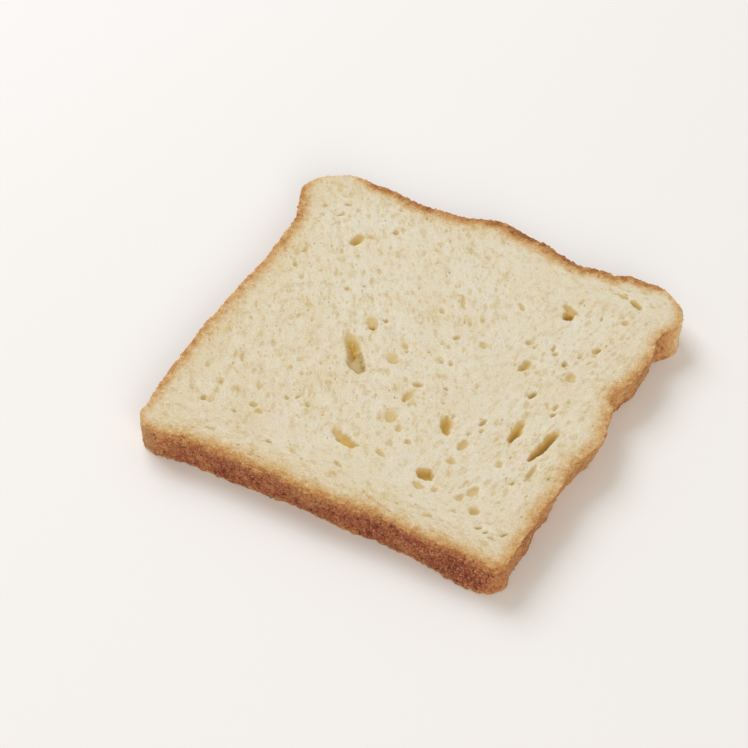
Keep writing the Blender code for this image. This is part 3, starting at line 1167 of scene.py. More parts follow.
    def of_wall(self, outline: Outline, distances: Array, level: float, thickness: float) -> Array:
        """Browning of one row of the crust: the side's own, paler towards the knife's edges.

        Args:
            outline: The outline.
            distances: Places along the outline.
            level: Height of the row as a share of the thickness.
            thickness: Between the two cut faces.

        Returns:
            The browning at each place.
        """
        own = outline.swollen(distances, self.walls, self.wall_swells)
        up = np.full(len(distances), level * thickness)
        own += self.patches * rugged(distances, up, self.patch_cell, self.seed + 10, outline.whole)
        above = max(0.0, 1 - (1 - level) / self.pale_reach[0])
        below = max(0.0, 1 - level / self.pale_reach[1])
        own -= above * outline.by_side(distances, self.pale_above)
        return own - below * outline.by_side(distances, self.pale_below)


# ---- The slice's mesh ----


def grid_quads(index: Indices) -> Indices:
    """Quads of a grid of point numbers, anticlockwise where rows run up and columns run right."""
    corners = (index[:-1, :-1], index[:-1, 1:], index[1:, 1:], index[1:, :-1])
    return np.stack(corners, axis=-1).reshape(-1, 4)


def grid_rim(index: Indices) -> Indices:
    """Point numbers of a grid's edge, anticlockwise from the first point."""
    return np.concatenate((index[0, :-1], index[:-1, -1], index[-1, :0:-1], index[:0:-1, 0]))


@dataclass
class BreadSlice:
    """The slice as one closed mesh: two cut faces and the crust between them.

    Attributes:
        outline: The outline that both cut faces share.
        relief: The crust's relief.
        browning: How far the bread is browned.
        upper: The cut face that looks up.
        lower: The cut face that it rests on.
        cells: Cells along one side of the upper cut face.
        lower_cells: Cells along one side of the lower one, half as many.
        levels: Heights of the crust's rows as shares of the thickness.
        square_core: Share of a cut face, from its middle, whose grid stays square.
        thickness: Between the two cut faces.
        settle: Distance from the edge over which a cut face's relief sets in.
        chunks: Parts in which the gaps to the edge are measured, which spares the memory.
    """

    outline: Outline
    relief: CrustRelief
    browning: Browning
    upper: CutFace
    lower: CutFace
    cells: int = 250
    lower_cells: int = 125
    levels: tuple[float, ...] = (
        0.978, 0.945, 0.9, 0.84, 0.77, 0.7, 0.62, 0.54,
        0.46, 0.38, 0.3, 0.225, 0.155, 0.095, 0.05, 0.018,
    )
    square_core: float = 0.55
    thickness: float = 10.5
    settle: float = 1.5
    chunks: int = 24

    def edge_row(self, distances: Array, level: float) -> Array:
        """Points of the crust at one height, moved out from the plain outline by the relief.

        Args:
            distances: Places along the outline.
            level: Height as a share of the thickness.

        Returns:
            The points, one row each.
        """
        points, normals = self.outline.points(distances)
        offset = self.relief.offset(self.outline, distances, level, self.thickness)
        return points + normals * offset[:, None]

    def face_grid(self, rim: Array, cells: int) -> Array:
        """Grid over a cut face, square in its middle and following the rim near it.

        A point at (u, v) of the square from -1 to 1 has the reach max(|u|, |v|). It lies at half
        the slice's size times (u, v) in the middle, and at its reach times the rim's point in its
        direction near the rim, with an s-curve of the reach blending the two.

        Args:
            rim: Points of the edge, as many as four times the cells.
            cells: Cells along one side.

        Returns:
            Points as an array of rows, columns and two coordinates.
        """
        ticks = np.linspace(-1, 1, cells + 1)
        u, v = np.meshgrid(ticks, ticks)
        reach = np.maximum(np.abs(u), np.abs(v))
        safe = np.maximum(reach, TINY)
        p, q = u / safe, v / safe
        place = np.select(
            (q <= -1 + TINY, p >= 1 - TINY, q >= 1 - TINY),
            ((p + 1) / 2, 1 + (q + 1) / 2, 2 + (1 - p) / 2),
            3 + (1 - q) / 2,
        )
        place = np.mod(place * cells, 4 * cells)
        before = np.floor(place).astype(int) % (4 * cells)
        share = (place - np.floor(place))[..., None]
        edge = (1 - share) * rim[before] + share * rim[(before + 1) % (4 * cells)]
        half = np.array((self.outline.width, self.outline.height)) / 2
        blend = smooth_step(self.square_core, 1, reach)[..., None]
        return (1 - blend) * half * np.stack((u, v), axis=-1) + blend * reach[..., None] * edge

    def nearest_edge(self, points: Array, rim: Array, distances: Array) -> tuple[Array, Array]:
        """Distance from each point to the rim, and where along the outline the rim is nearest.

        Args:
            points: Points of a cut face, one row each.
            rim: Points of its edge.
            distances: Place of each point of the edge along the outline.

        Returns:
            The distances to the rim and the places.
        """
        inward, place = np.zeros((2, len(points)))
        for chunk in np.array_split(np.arange(len(points)), self.chunks):
            gaps = np.linalg.norm(points[chunk, None] - rim[None], axis=2)
            nearest = gaps.argmin(axis=1)
            inward[chunk] = gaps[np.arange(len(chunk)), nearest]
            place[chunk] = distances[nearest]
        return inward, place

    def face(self, cut: CutFace, level: float, cells: int) -> tuple[Array, dict[Trait, Array]]:
        """Points and traits of a cut face.

        Args:
            cut: The face's crumb.
            level: 1 for the upper face and 0 for the lower one.
            cells: Cells along one side.

        Returns:
            Points in grid order, and one array for each trait.
        """
        distances = self.outline.columns(cells)
        rim = self.edge_row(distances, level)
        flat = self.face_grid(rim, cells).reshape(-1, 2)
        inward, place = self.nearest_edge(flat, rim, distances)
        x, y = flat.T
        sunk, toned = cut.bowls(x, y)
        settled = smooth_step(0.0, self.settle, inward)
        depth = (sunk + cut.uneven(x, y)) * settled
        height = self.thickness - depth if level else depth
        points = np.column_stack((flat, height))
        toast = self.browning.of_face(self.outline, inward, place) + self.browning.warmth(x, y)
        traits = {
            Trait.TOAST: toast,
            Trait.PIT: cut.pit(toned * settled),
            Trait.UNDERCUT_SHADE: cut.undercut_shade(x, y, sunk) * settled,
            Trait.DULL_SHADE: cut.dull(x, y),
            Trait.STRATA: cut.strata.shares(x, y),
        }
        return points, traits

    def wall(self) -> tuple[Array, dict[Trait, Array]]:
        """Points and traits of the crust between the two cut faces.

        Returns:
            Points row by row, from the upper one down, and one array for each trait.
        """
        distances = self.outline.columns(self.cells)
        rows, toasts = [], []
        for level in self.levels:
            row = self.edge_row(distances, level)
            rows.append(np.column_stack((row, np.full(len(row), level * self.thickness))))
            toasts.append(self.browning.of_wall(self.outline, distances, level, self.thickness))
        count = len(distances) * len(self.levels)
        traits = {
            Trait.TOAST: np.concatenate(toasts),
            **dict.fromkeys((Trait.PIT, Trait.UNDERCUT_SHADE, Trait.DULL_SHADE), np.zeros(count)),
            Trait.STRATA: np.tile((0.0, 0.0, 1.0), (count, 1)),
        }
        return np.concatenate(rows), traits

    def wall_faces(self, first: int, top_rim: Indices, low_rim: Indices) -> tuple[Indices, Indices]:
        """Faces of the crust: quads between its rows, and triangles to the coarser lower rim.

        Args:
            first: Number of the crust's first point.
            top_rim: Point numbers of the upper face's edge.
            low_rim: Point numbers of the lower face's edge, half as many.

        Returns:
            The quads and the triangles, both facing outwards.
        """
        around = 4 * self.cells
        rings = first + np.arange(len(self.levels) * around).reshape(-1, around)
        rings = np.vstack((top_rim[None], rings))
        closed = np.hstack((rings, rings[:, :1]))
        quads = grid_quads(closed)[:, ::-1]
        last, low = closed[-1], np.append(low_rim, low_rim[0])
        left, middle, right = last[0:-1:2], last[1::2], last[2::2]
        triangles = (
            np.stack((low[:-1], low[1:], middle), axis=-1),
            np.stack((low[:-1], middle, left), axis=-1),
            np.stack((low[1:], right, middle), axis=-1),
        )
        return quads, np.concatenate(triangles)

    def build(self, name: str) -> bpy.types.Object:
        """Makes the slice's object.

        Args:
            name: Name of the object.

        Returns:
            The object, with its traits as attributes, crumb faces in slot 0 and crust in slot 1.
        """
        upper, upper_traits = self.face(self.upper, 1.0, self.cells)
        wall, wall_traits = self.wall()
        lower, lower_traits = self.face(self.lower, 0.0, self.lower_cells)
        points = np.concatenate((upper, wall, lower))
        top_index = np.arange(len(upper)).reshape(self.cells + 1, -1)
        low_first = len(upper) + len(wall)
        low_index = low_first + np.arange(len(lower)).reshape(self.lower_cells + 1, -1)
        rims = grid_rim(top_index), grid_rim(low_index)
        wall_quads, wall_triangles = self.wall_faces(len(upper), *rims)
        cut_quads = np.concatenate((grid_quads(top_index), grid_quads(low_index)[:, ::-1]))
        piece = mesh_object(name, self.placed(points), (cut_quads, wall_quads, wall_triangles))
        crust = np.zeros(len(piece.data.polygons), dtype=np.int32)
        crust[len(cut_quads):] = 1
        piece.data.polygons.foreach_set("material_index", crust)
        parts = upper_traits, wall_traits, lower_traits
        for trait in Trait:
            write_trait(piece.data, trait, np.concatenate([part[trait] for part in parts]))
        return piece

    def placed(self, points: Array) -> Array:
        """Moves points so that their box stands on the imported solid's floor, over its middle.

        Args:
            points: Points in millimetres.

        Returns:
            The points in metres, in the shared frame.
        """
        low, high = (np.array(corner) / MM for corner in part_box(NODE))
        middle = (points.min(axis=0) + points.max(axis=0)) / 2
        shift = (low + high) / 2 - middle
        shift[2] = low[2]
        return (points + shift) * MM


def mesh_object(name: str, points: Array, faces: tuple[Indices, ...]) -> bpy.types.Object:
    """Makes a smooth-shaded mesh object at the origin.

    Args:
        name: Name of the object and its mesh.
        points: Points in metres, one row each.
        faces: Arrays of faces, each with its own number of corners to a face.

    Returns:
        The object, linked to the scene.
    """
    sizes = np.concatenate([np.full(len(part), part.shape[1]) for part in faces])
    corners = np.concatenate([part.ravel() for part in faces])
    mesh = bpy.data.meshes.new(name)
    mesh.vertices.add(len(points))
    mesh.vertices.foreach_set("co", points.astype(np.float32).ravel())
    mesh.loops.add(len(corners))
    mesh.loops.foreach_set("vertex_index", corners.astype(np.int32))
    mesh.polygons.add(len(sizes))
    mesh.polygons.foreach_set("loop_start", (np.cumsum(sizes) - sizes).astype(np.int32))
    mesh.polygons.foreach_set("use_smooth", np.ones(len(sizes), dtype=bool))
    mesh.update(calc_edges=True)
    mesh.validate()
    piece = bpy.data.objects.new(name, mesh)
    bpy.context.scene.collection.objects.link(piece)
    return piece


def write_trait(mesh: bpy.types.Mesh, trait: Trait, values: Array) -> None:
    """Stores one value or vector for each point under the trait's name.

    Args:
        mesh: The mesh.
        trait: The trait.
        values: One number or one row of three for each point.
    """
    kind, key = ("FLOAT", "value") if values.ndim == 1 else ("FLOAT_VECTOR", "vector")
    layer = mesh.attributes.new(trait.value, kind, "POINT")
    layer.data.foreach_set(key, values.astype(np.float32).ravel())


# ---- Shader nodes ----

SPECULAR = 0.25


class Ramp(NamedTuple):
    """An s-curve from one range to another: the low and the high value, and what they become."""

    low: float
    high: float
    to_low: float = 0.0
    to_high: float = 1.0


class Grain(NamedTuple):
    """A noise from 0 to 1: size of its coarsest waves in metres, its detail and its roughness."""

    size: float
    detail: float
    roughness: float


def paint(red: int, green: int, blue: int) -> Tint:
    """Linear colour of a screen colour, by the curve of the sRGB standard.

    Args:
        red, green, blue: The screen colour, from 0 to 255.

    Returns:
        The linear colour and an alpha of 1.
    """
    screen = np.array((red, green, blue)) / 255
    linear = np.where(screen <= 0.04045, screen / 12.92, ((screen + 0.055) / 1.055) ** 2.4)
    return (*(float(value) for value in linear), 1.0)


class NodeSheet:
    """Places and joins the nodes of one shader tree."""

    def __init__(self, tree: Tree) -> None:
        """Starts on a tree, whatever it already holds."""
        self.tree = tree

    def add(self, kind: str, **settings: object) -> Node:
        """Adds a node and sets its properties.

        Args:
            kind: Name of the node's class.
            settings: Properties of the node and their values.

        Returns:
            The node.
        """
        node = self.tree.nodes.new(kind)
        for name, value in settings.items():
            setattr(node, name, value)
        return node

    def feed(self, socket: Socket, value: object) -> None:
        """Joins an output to an input, or writes a constant there.

        Args:
            socket: The input.
            value: An output's socket, or the constant.
        """
        if isinstance(value, Socket):
            self.tree.links.new(value, socket)
        else:
            socket.default_value = value

    def feed_all(self, node: Node, **values: object) -> Node:
        """Feeds a node's inputs, each named in lower case with _ for each space.

        Args:
            node: The node.
            values: Outputs or constants.

        Returns:
            The node.
        """
        for name, value in values.items():
            self.feed(node.inputs[name.replace("_", " ").title()], value)
        return node

    def math(self, operation: str, *values: object, clamp: bool = False) -> Socket:
        """Result of a Math node.

        Args:
            operation: What the node does.
            values: What its inputs are fed with.
            clamp: Whether the result is kept between 0 and 1.

        Returns:
            The result.
        """
        node = self.add("ShaderNodeMath", operation=operation, use_clamp=clamp)
        for socket, value in zip(node.inputs, values):
            self.feed(socket, value)
        return node.outputs[0]

    def times(self, *values: object) -> Socket:
        """Product of two values."""
        return self.math("MULTIPLY", *values)

    def plus(self, *values: object) -> Socket:
        """Sum of two values."""
        return self.math("ADD", *values)

    def minus(self, *values: object) -> Socket:
        """First value less the second."""
        return self.math("SUBTRACT", *values)

    def mix(self, share: object, first: object, second: object, blend: str = "MIX") -> Socket:
        """Colour that a Mix node makes of two. Its inputs for colours are 6 and 7.

        Args:
            share: Share of the second colour.
            first: First colour.
            second: Second colour.
            blend: How the node blends them.

        Returns:
            The colour.
        """
        node = self.add("ShaderNodeMix", data_type="RGBA", blend_type=blend)
        for number, value in ((0, share), (6, first), (7, second)):
            self.feed(node.inputs[number], value)
        return node.outputs[2]

    def tinted(self, base: Socket, share: Socket, tint: Tint) -> Socket:
        """Base colour multiplied by a tint, by a share from 0 to 1."""
        return self.mix(share, base, self.mix(1.0, base, tint, "MULTIPLY"))

    def span(
        self, value: Socket, low: object, high: object, to_low: float, to_high: float
    ) -> Socket:
        """Value carried from one range to another along an s-curve.

        Args:
            value: The value.
            low, high: Ends of its range. The low one may be the larger.
            to_low, to_high: What they become.

        Returns:
            The result.
        """
        node = self.add("ShaderNodeMapRange", interpolation_type="SMOOTHSTEP")
        for socket, given in zip(node.inputs, (value, low, high, to_low, to_high)):
            self.feed(socket, given)
        return node.outputs[0]

    def noise(self, vector: Socket, grain: Grain, shown: Ramp | None = None) -> Socket:
        """Noise of a grain, or what a ramp shows of it.

        Args:
            vector: Points at which it is read.
            grain: Its size, detail and roughness.
            shown: The ramp, if it is to go through one.

        Returns:
            The noise.
        """
        node = self.add("ShaderNodeTexNoise", noise_dimensions="3D")
        self.feed_all(node, vector=vector, scale=1 / grain.size)
        self.feed_all(node, detail=grain.detail, roughness=grain.roughness)
        return self.span(node.outputs["Fac"], *shown) if shown else node.outputs["Fac"]

    def group(self, tree: Tree, **values: object) -> Node:
        """Places a node group and feeds its inputs."""
        return self.feed_all(self.add("ShaderNodeGroup", node_tree=tree), **values)

    def trait(self, trait: Trait, output: str = "Fac") -> Socket:
        """Output of an Attribute node that reads one of the mesh's traits."""
        return self.add("ShaderNodeAttribute", attribute_name=trait.value).outputs[output]

    def bump(self, shader: Node, height: Socket, depth: float, strength: float) -> None:
        """Feeds a shader's normal with relief.

        Args:
            shader: The shader.
            height: Height from 0 to 1.
            depth: Depth in metres that a height of 1 stands for.
            strength: Share of that depth that shows.
        """
        node = self.add("ShaderNodeBump")
        self.feed_all(node, strength=strength, distance=depth, height=height)
        self.feed(shader.inputs["Normal"], node.outputs["Normal"])


def new_group(
    name: str, inputs: dict[str, str], outputs: dict[str, str]
) -> tuple[Tree, NodeSheet, Node, Node]:
    """Makes a shader node group with its sockets.

    Args:
        name: Name of the group.
        inputs: What each input carries, by its name: Float, Vector or Color.
        outputs: The same for each output.

    Returns:
        The tree, its sheet, its input node and its output node.
    """
    tree = bpy.data.node_groups.new(name, "ShaderNodeTree")
    for end, sockets in (("INPUT", inputs), ("OUTPUT", outputs)):
        for label, kind in sockets.items():
            tree.interface.new_socket(name=label, in_out=end, socket_type="NodeSocket" + kind)
    sheet = NodeSheet(tree)
    return tree, sheet, sheet.add("NodeGroupInput"), sheet.add("NodeGroupOutput")


def principled(name: str, roughness: float) -> tuple[bpy.types.Material, NodeSheet, Node, Socket]:
    """Starts a material.

    Args:
        name: Name of the material.
        roughness: Roughness of its shader.

    Returns:
        The material, its sheet, its Principled node and the socket of Object coordinates.
    """
    made = bpy.data.materials.new(name)
    made.use_nodes = True
    sheet = NodeSheet(made.node_tree)
    shader = made.node_tree.nodes["Principled BSDF"]
    shader.inputs["Roughness"].default_value = roughness
    shader.inputs["Specular IOR Level"].default_value = SPECULAR
    return made, sheet, shader, sheet.add("ShaderNodeTexCoord").outputs["Object"]


# ---- The finishes ----


@dataclass(frozen=True)
class ToastColours:
    """Colours of bread as it browns.

    Attributes:
        name: Name of the node group.
        stops: Each browning, from 0 to 1, and the screen colour that it gives.
    """

    name: str
    stops: tuple[tuple[float, Screen], ...]

    def group(self) -> Tree:
        """Makes the group that turns Toast, from 0 to 1, into its Color.

        Returns:
            The group's tree.
        """
        tree, sheet, given, result = new_group(self.name, {"Toast": "Float"}, {"Color": "Color"})
        ramp = sheet.add("ShaderNodeValToRGB")
        stops = ramp.color_ramp.elements
        while len(stops) < len(self.stops):
            stops.new(0.5)
        for element, (place, colour) in zip(stops, self.stops):
            element.position = place
            element.color = paint(*colour)
        sheet.feed(ramp.inputs[0], given.outputs["Toast"])
        sheet.feed(result.inputs["Color"], ramp.outputs["Color"])
        return tree


CRUMB_COLOURS = ToastColours(
    "crumb_colours",
    (
        (0.0, (220, 212, 191)), (0.08, (216, 202, 172)), (0.2, (209, 183, 141)),
        (0.34, (202, 168, 118)), (0.48, (193, 149, 95)), (0.62, (175, 127, 77)),
        (0.78, (153, 100, 57)), (0.9, (130, 77, 43)), (1.0, (103, 56, 31)),
    ),
)
CRUST_COLOURS = ToastColours(
    "crust_colours",
    (
        (0.0, (238, 212, 172)), (0.15, (231, 196, 146)), (0.3, (222, 177, 119)),
        (0.46, (211, 154, 93)), (0.62, (190, 125, 76)), (0.78, (168, 93, 60)),
        (0.9, (142, 68, 41)), (1.0, (108, 46, 26)),
    ),
)


@dataclass(frozen=True)
class FinePores:
    """Pores too small for the mesh, as a mask of drawn-out spots, and the fibres between them.

    Attributes:
        softness: Share of a cell over which a spot fades out.
        widest: Radius of the largest spot as a share of a cell.
        fibres: The fibres' noise, with its size as a share of a cell.
    """

    softness: float = 0.3
    widest: float = 0.62
    fibres: Grain = Grain(1.0, 3.0, 0.6)

    def group(self) -> Tree:
        """Makes the group that puts out a Mask of spots and the Fibre noise, each from 0 to 1.

        Rotation turns them, Size is the length, width and depth of a cell, and Share is how many
        cells hold a spot. A spot's radius is the widest, times how far its cell's random number
        is into that share.

        Returns:
            The group's tree.
        """
        tree, sheet, given, result = new_group(
            "fine_pores",
            {"Vector": "Vector", "Rotation": "Vector", "Size": "Vector", "Share": "Float"},
            {"Mask": "Float", "Fibre": "Float"},
        )
        vector, rotation, size, share = (given.outputs[number] for number in range(4))
        turned = sheet.add("ShaderNodeMapping", vector_type="TEXTURE")
        sheet.feed_all(turned, vector=vector, rotation=rotation, scale=size)
        place = turned.outputs["Vector"]
        cells = sheet.add("ShaderNodeTexVoronoi", voronoi_dimensions="3D", feature="F1")
        sheet.feed_all(cells, vector=place, scale=1.0)
        drawn = sheet.add("ShaderNodeSeparateColor")
        sheet.feed(drawn.inputs[0], cells.outputs["Color"])
        into = sheet.minus(drawn.outputs["Red"], sheet.minus(1.0, share))
        radius = sheet.times(sheet.math("DIVIDE", into, share), self.widest)
        inner = sheet.minus(radius, self.softness)
        mask = sheet.span(cells.outputs["Distance"], radius, inner, 0.0, 1.0)
        held = sheet.math("GREATER_THAN", radius, 0.0)
        sheet.feed(result.inputs["Mask"], sheet.times(mask, held))
        sheet.feed(result.inputs["Fibre"], sheet.noise(place, self.fibres))
        return tree


@dataclass(frozen=True)
class PoreKind:
    """One kind of pore that is too small for the mesh.

    Attributes:
        cell: Length, width and depth of its cells, in metres.
        share: How many cells hold a pore.
        strength: How strongly the pores' painted shade tints the crumb.
        waves: How strongly the fibres of the same size do.
    """

    cell: Triple
    share: float
    strength: float
    waves: float


@dataclass(frozen=True)
class CrumbFinish:
    """Pale, open crumb with golden painted shade in its pores and holes, browning towards the crust.

    Attributes:
        strata: The directions of the fine pores.
        pores: The fine pores, painted as golden shade, from the largest kind down.
        dashes: The rare dark ones, painted as dark shade.
        waver, waver_size: How far their shapes are pushed about, and the size of that, in metres.
        toast_grains: Two noises that speckle the browned crumb, each with its strength.
        toast_most: Browning past which the speckles grow no stronger.
        pale: Browning over which the fibres fade out.
        darker, paler: Fibre noise that gives the darker and the paler fibres.
        paler_strength: How strong the paler ones are beside the others.
        mottle: Noise of the large patches, and what of it shows.
        specks: Noise of the finest specks, and what of it shows.
        torn: Noise that tears the holes.
        torn_mouth, torn_wall: What it makes of a mouth's depth and of a wall's painted shade.
        mouth, deep: Depths over which the painted shade of a mouth and of a bottom sets in.
        hole_shade_colour, mouth_shade_colour: Golden painted shade deep in a hole and in its mouth.
        undercut_shade_tint: Painted shade that a dark wall multiplies the crumb's colour by.
        dull_shade_tint: Painted shade on the dull skin of a large hole.
        pore_shade_tint, dash_shade_tint: Painted shade of the golden and the dark fine pores.
        fibre_tint: What the darker fibres do.
        ridge_colour: Colour of the paler fibres.
        mottle_tint, speck_tint: What the patches and the specks multiply the colour by.
        speck_relief, fibre_relief: Height of a speck and depth of a fibre beside a pore's depth.
        relief: Depth of the relief in metres, and the share of it that shows.
        roughness: Of the surface.
        subsurface: Share of light that travels through the crumb.
        subsurface_scale: How far it travels, in metres.
        subsurface_radius: How far its red, green and blue do, as shares of that.
    """

    strata: Strata
    pores: tuple[PoreKind, ...] = (
        PoreKind((0.0034, 0.0018, 0.0020), 0.4, 0.8, 0.9),
        PoreKind((0.0020, 0.0010, 0.0012), 0.36, 0.75, 0.35),
        PoreKind((0.0011, 0.0005, 0.0006), 0.25, 0.5, 0.0),
    )
    dashes: PoreKind = PoreKind((0.0014, 0.0006, 0.0010), 0.05, 0.8, 0.0)
    waver: float = 0.0005
    waver_size: float = 0.0016
    toast_grains: tuple[tuple[Grain, float], ...] = (
        (Grain(0.0008, 2.0, 0.7), 2.4),
        (Grain(0.002, 2.0, 0.6), 2.0),
    )
    toast_most: float = 0.3
    pale: Ramp = Ramp(0.0, 0.3, 1.0, 0.0)
    darker: Pair = (0.5, 0.68)
    paler: Pair = (0.47, 0.3)
    paler_strength: float = 0.6
    mottle: tuple[Grain, Ramp] = (Grain(0.013, 3.0, 0.5), Ramp(0.35, 0.7))
    specks: tuple[Grain, Ramp] = (Grain(0.0004, 2.0, 0.6), Ramp(0.38, 0.64))
    torn: Grain = Grain(0.0009, 2.0, 0.6)
    torn_mouth: Ramp = Ramp(0.32, 0.68, 0.75, 1.25)
    torn_wall: Ramp = Ramp(0.6, 0.42, 0.2, 1.0)
    mouth: Ramp = Ramp(0.0, 0.3, 0.0, 0.92)
    deep: Ramp = Ramp(0.4, 0.95)
    # Golden painted shade in the holes, with the glow of light through the crumb.
    hole_shade_colour: Screen = (210, 174, 86)
    mouth_shade_colour: Screen = (206, 181, 126)
    # Painted shade of the walls that lean back.
    undercut_shade_tint: Tint = (0.62, 0.48, 0.32, 1.0)
    # Painted shade of the large hole's dull skin.
    dull_shade_tint: Tint = (0.79, 0.8, 0.82, 1.0)
    # Painted shade of the fine pores.
    pore_shade_tint: Tint = (0.87, 0.77, 0.57, 1.0)
    dash_shade_tint: Tint = (0.64, 0.51, 0.34, 1.0)
    fibre_tint: Tint = (0.90, 0.82, 0.66, 1.0)
    ridge_colour: Screen = (226, 220, 204)
    mottle_tint: Tint = (0.985, 0.96, 0.90, 1.0)
    speck_tint: Tint = (0.88, 0.875, 0.865, 1.0)
    speck_relief: float = -0.6
    fibre_relief: float = 0.5
    relief: Pair = (0.0003, 0.35)
    roughness: float = 0.88
    subsurface: float = 0.6
    subsurface_scale: float = 0.002
    subsurface_radius: Triple = (1.0, 0.6, 0.25)

    def material(self, toast: Tree, pores: Tree) -> bpy.types.Material:
        """Makes the material.

        Args:
            toast: Group of the toast colours.
            pores: Group of the fine pores.

        Returns:
            The material.
        """
        made, sheet, shader, place = principled("crumb", self.roughness)
        browned = sheet.trait(Trait.TOAST)
        along = self.along_strata(sheet, place)
        base = self.toasted(sheet, place, toast, browned)
        base, fine, fibres = self.veined(sheet, base, along, pores, browned)
        base = sheet.tinted(base, sheet.noise(place, *self.mottle), self.mottle_tint)
        grain, shown = self.specks
        specks = sheet.noise(place, grain)
        base = sheet.tinted(base, sheet.span(specks, *shown), self.speck_tint)
        # Painted shade in the holes: golden in their mouths and bottoms, darker on leaning walls and
        # dull floors.
        base, mouth = self.hollowed(sheet, place, base)
        open_crumb = sheet.minus(1.0, mouth)
        fine = sheet.times(fine, open_crumb)
        # Golden painted shade of the fine pores.
        base = sheet.tinted(base, fine, self.pore_shade_tint)
        # Dark painted shade of the rare slit-like pores.
        dark, _ = self.drawn_out(sheet, along, pores, self.dashes)
        dark = sheet.times(sheet.times(dark, self.dashes.strength), open_crumb)
        base = sheet.tinted(base, dark, self.dash_shade_tint)
        sheet.feed(shader.inputs["Base Color"], base)
        height = sheet.minus(sheet.times(specks, self.speck_relief), fine)
        height = sheet.minus(height, sheet.times(fibres, self.fibre_relief))
        sheet.bump(shader, height, *self.relief)
        shader.inputs["Subsurface Weight"].default_value = self.subsurface
        shader.inputs["Subsurface Radius"].default_value = self.subsurface_radius
        shader.inputs["Subsurface Scale"].default_value = self.subsurface_scale
        return made

    def toasted(self, sheet: NodeSheet, place: Socket, toast: Tree, browned: Socket) -> Socket:
        """Colour of the browned crumb, speckled in proportion to its browning.

        The speckles are the sum of the grains, each times its strength, less half the sum of the
        strengths, and times the browning.

        Args:
            sheet: Sheet of the material.
            place: Coordinates.
            toast: Group of the toast colours.
            browned: The browning, from 0 to 1.

        Returns:
            The colour.
        """
        (fine, fine_strength), (coarse, coarse_strength) = self.toast_grains
        grain = sheet.times(sheet.noise(place, fine), fine_strength)
        grain = sheet.plus(grain, sheet.times(sheet.noise(place, coarse), coarse_strength))
        unsteady = sheet.minus(grain, (fine_strength + coarse_strength) / 2)
        unsteady = sheet.times(unsteady, sheet.math("MINIMUM", browned, self.toast_most))
        return sheet.group(toast, toast=sheet.math("ADD", browned, unsteady, clamp=True)).outputs[0]

    def veined(
        self, sheet: NodeSheet, base: Socket, along: Along, pores: Tree, browned: Socket
    ) -> tuple[Socket, Socket, Socket]:
        """Colour with the fibres of every kind of pore, darker and paler ones.

        Args:
            sheet: Sheet of the material.
            base: Colour so far.
            along: Coordinates and the strata's shares.
            pores: Group of the fine pores.
            browned: The browning, from 0 to 1.

        Returns:
            The colour, the mask of the fine pores and the noise of the largest fibres.
        """
        pale = sheet.span(browned, *self.pale)
        fine, fibres = None, None
        for kind in self.pores:
            spots, waves = self.drawn_out(sheet, along, pores, kind)
            spots = sheet.times(spots, kind.strength)
            fine = spots if fine is None else sheet.math("MAXIMUM", fine, spots)
            darker = sheet.times(sheet.span(waves, *self.darker, 0.0, kind.waves), pale)
            base = sheet.tinted(base, darker, self.fibre_tint)
            paler = sheet.span(waves, *self.paler, 0.0, self.paler_strength * kind.waves)
            base = sheet.mix(sheet.times(paler, pale), base, paint(*self.ridge_colour))
            fibres = waves if fibres is None else fibres
        return base, fine, fibres

    def hollowed(self, sheet: NodeSheet, place: Socket, base: Socket) -> tuple[Socket, Socket]:
        """Colour with painted shade in the holes: golden in their mouths and bottoms, darker on
        their walls.

        Args:
            sheet: Sheet of the material.
            place: Coordinates.
            base: Colour so far.

        Returns:
            The colour, and how far each point lies in the mouth of a hole, from 0 to 1.
        """
        pit = sheet.trait(Trait.PIT)
        torn = sheet.noise(place, self.torn)
        mouth = sheet.span(sheet.times(pit, sheet.span(torn, *self.torn_mouth)), *self.mouth)
        # Painted shade dulls the large hole's skin and takes away its golden colour.
        dull = sheet.trait(Trait.DULL_SHADE)
        deep = sheet.times(sheet.span(pit, *self.deep), sheet.minus(1.0, dull))
        # Golden painted shade, standing for shade and the glow of light through the crumb.
        golden = sheet.mix(deep, paint(*self.mouth_shade_colour), paint(*self.hole_shade_colour))
        base = sheet.tinted(sheet.mix(mouth, base, golden), dull, self.dull_shade_tint)
        # Painted shade on walls that lean back, dotted by the torn noise.
        under = sheet.trait(Trait.UNDERCUT_SHADE)
        shade_dots = sheet.span(torn, *self.torn_wall)
        return sheet.tinted(base, sheet.times(under, shade_dots), self.undercut_shade_tint), mouth

    def along_strata(self, sheet: NodeSheet, place: Socket) -> Along:
        """Coordinates pushed about by a wavy noise, and the strata.

        Args:
            sheet: Sheet of the material.
            place: Coordinates.

        Returns:
            The pushed coordinates, and the node whose outputs are the strata's three shares.
        """
        shares = sheet.add("ShaderNodeSeparateXYZ")
        sheet.feed(shares.inputs[0], sheet.trait(Trait.STRATA, "Vector"))
        wander = sheet.add("ShaderNodeTexNoise", noise_dimensions="3D")
        sheet.feed_all(wander, vector=place, scale=1 / self.waver_size)
        pushed = sheet.add("ShaderNodeVectorMath", operation="MULTIPLY_ADD")
        reach = (2 * self.waver,) * 3
        for socket, value in zip(pushed.inputs, (wander.outputs["Color"], reach, place)):
            sheet.feed(socket, value)
        return pushed.outputs[0], shares

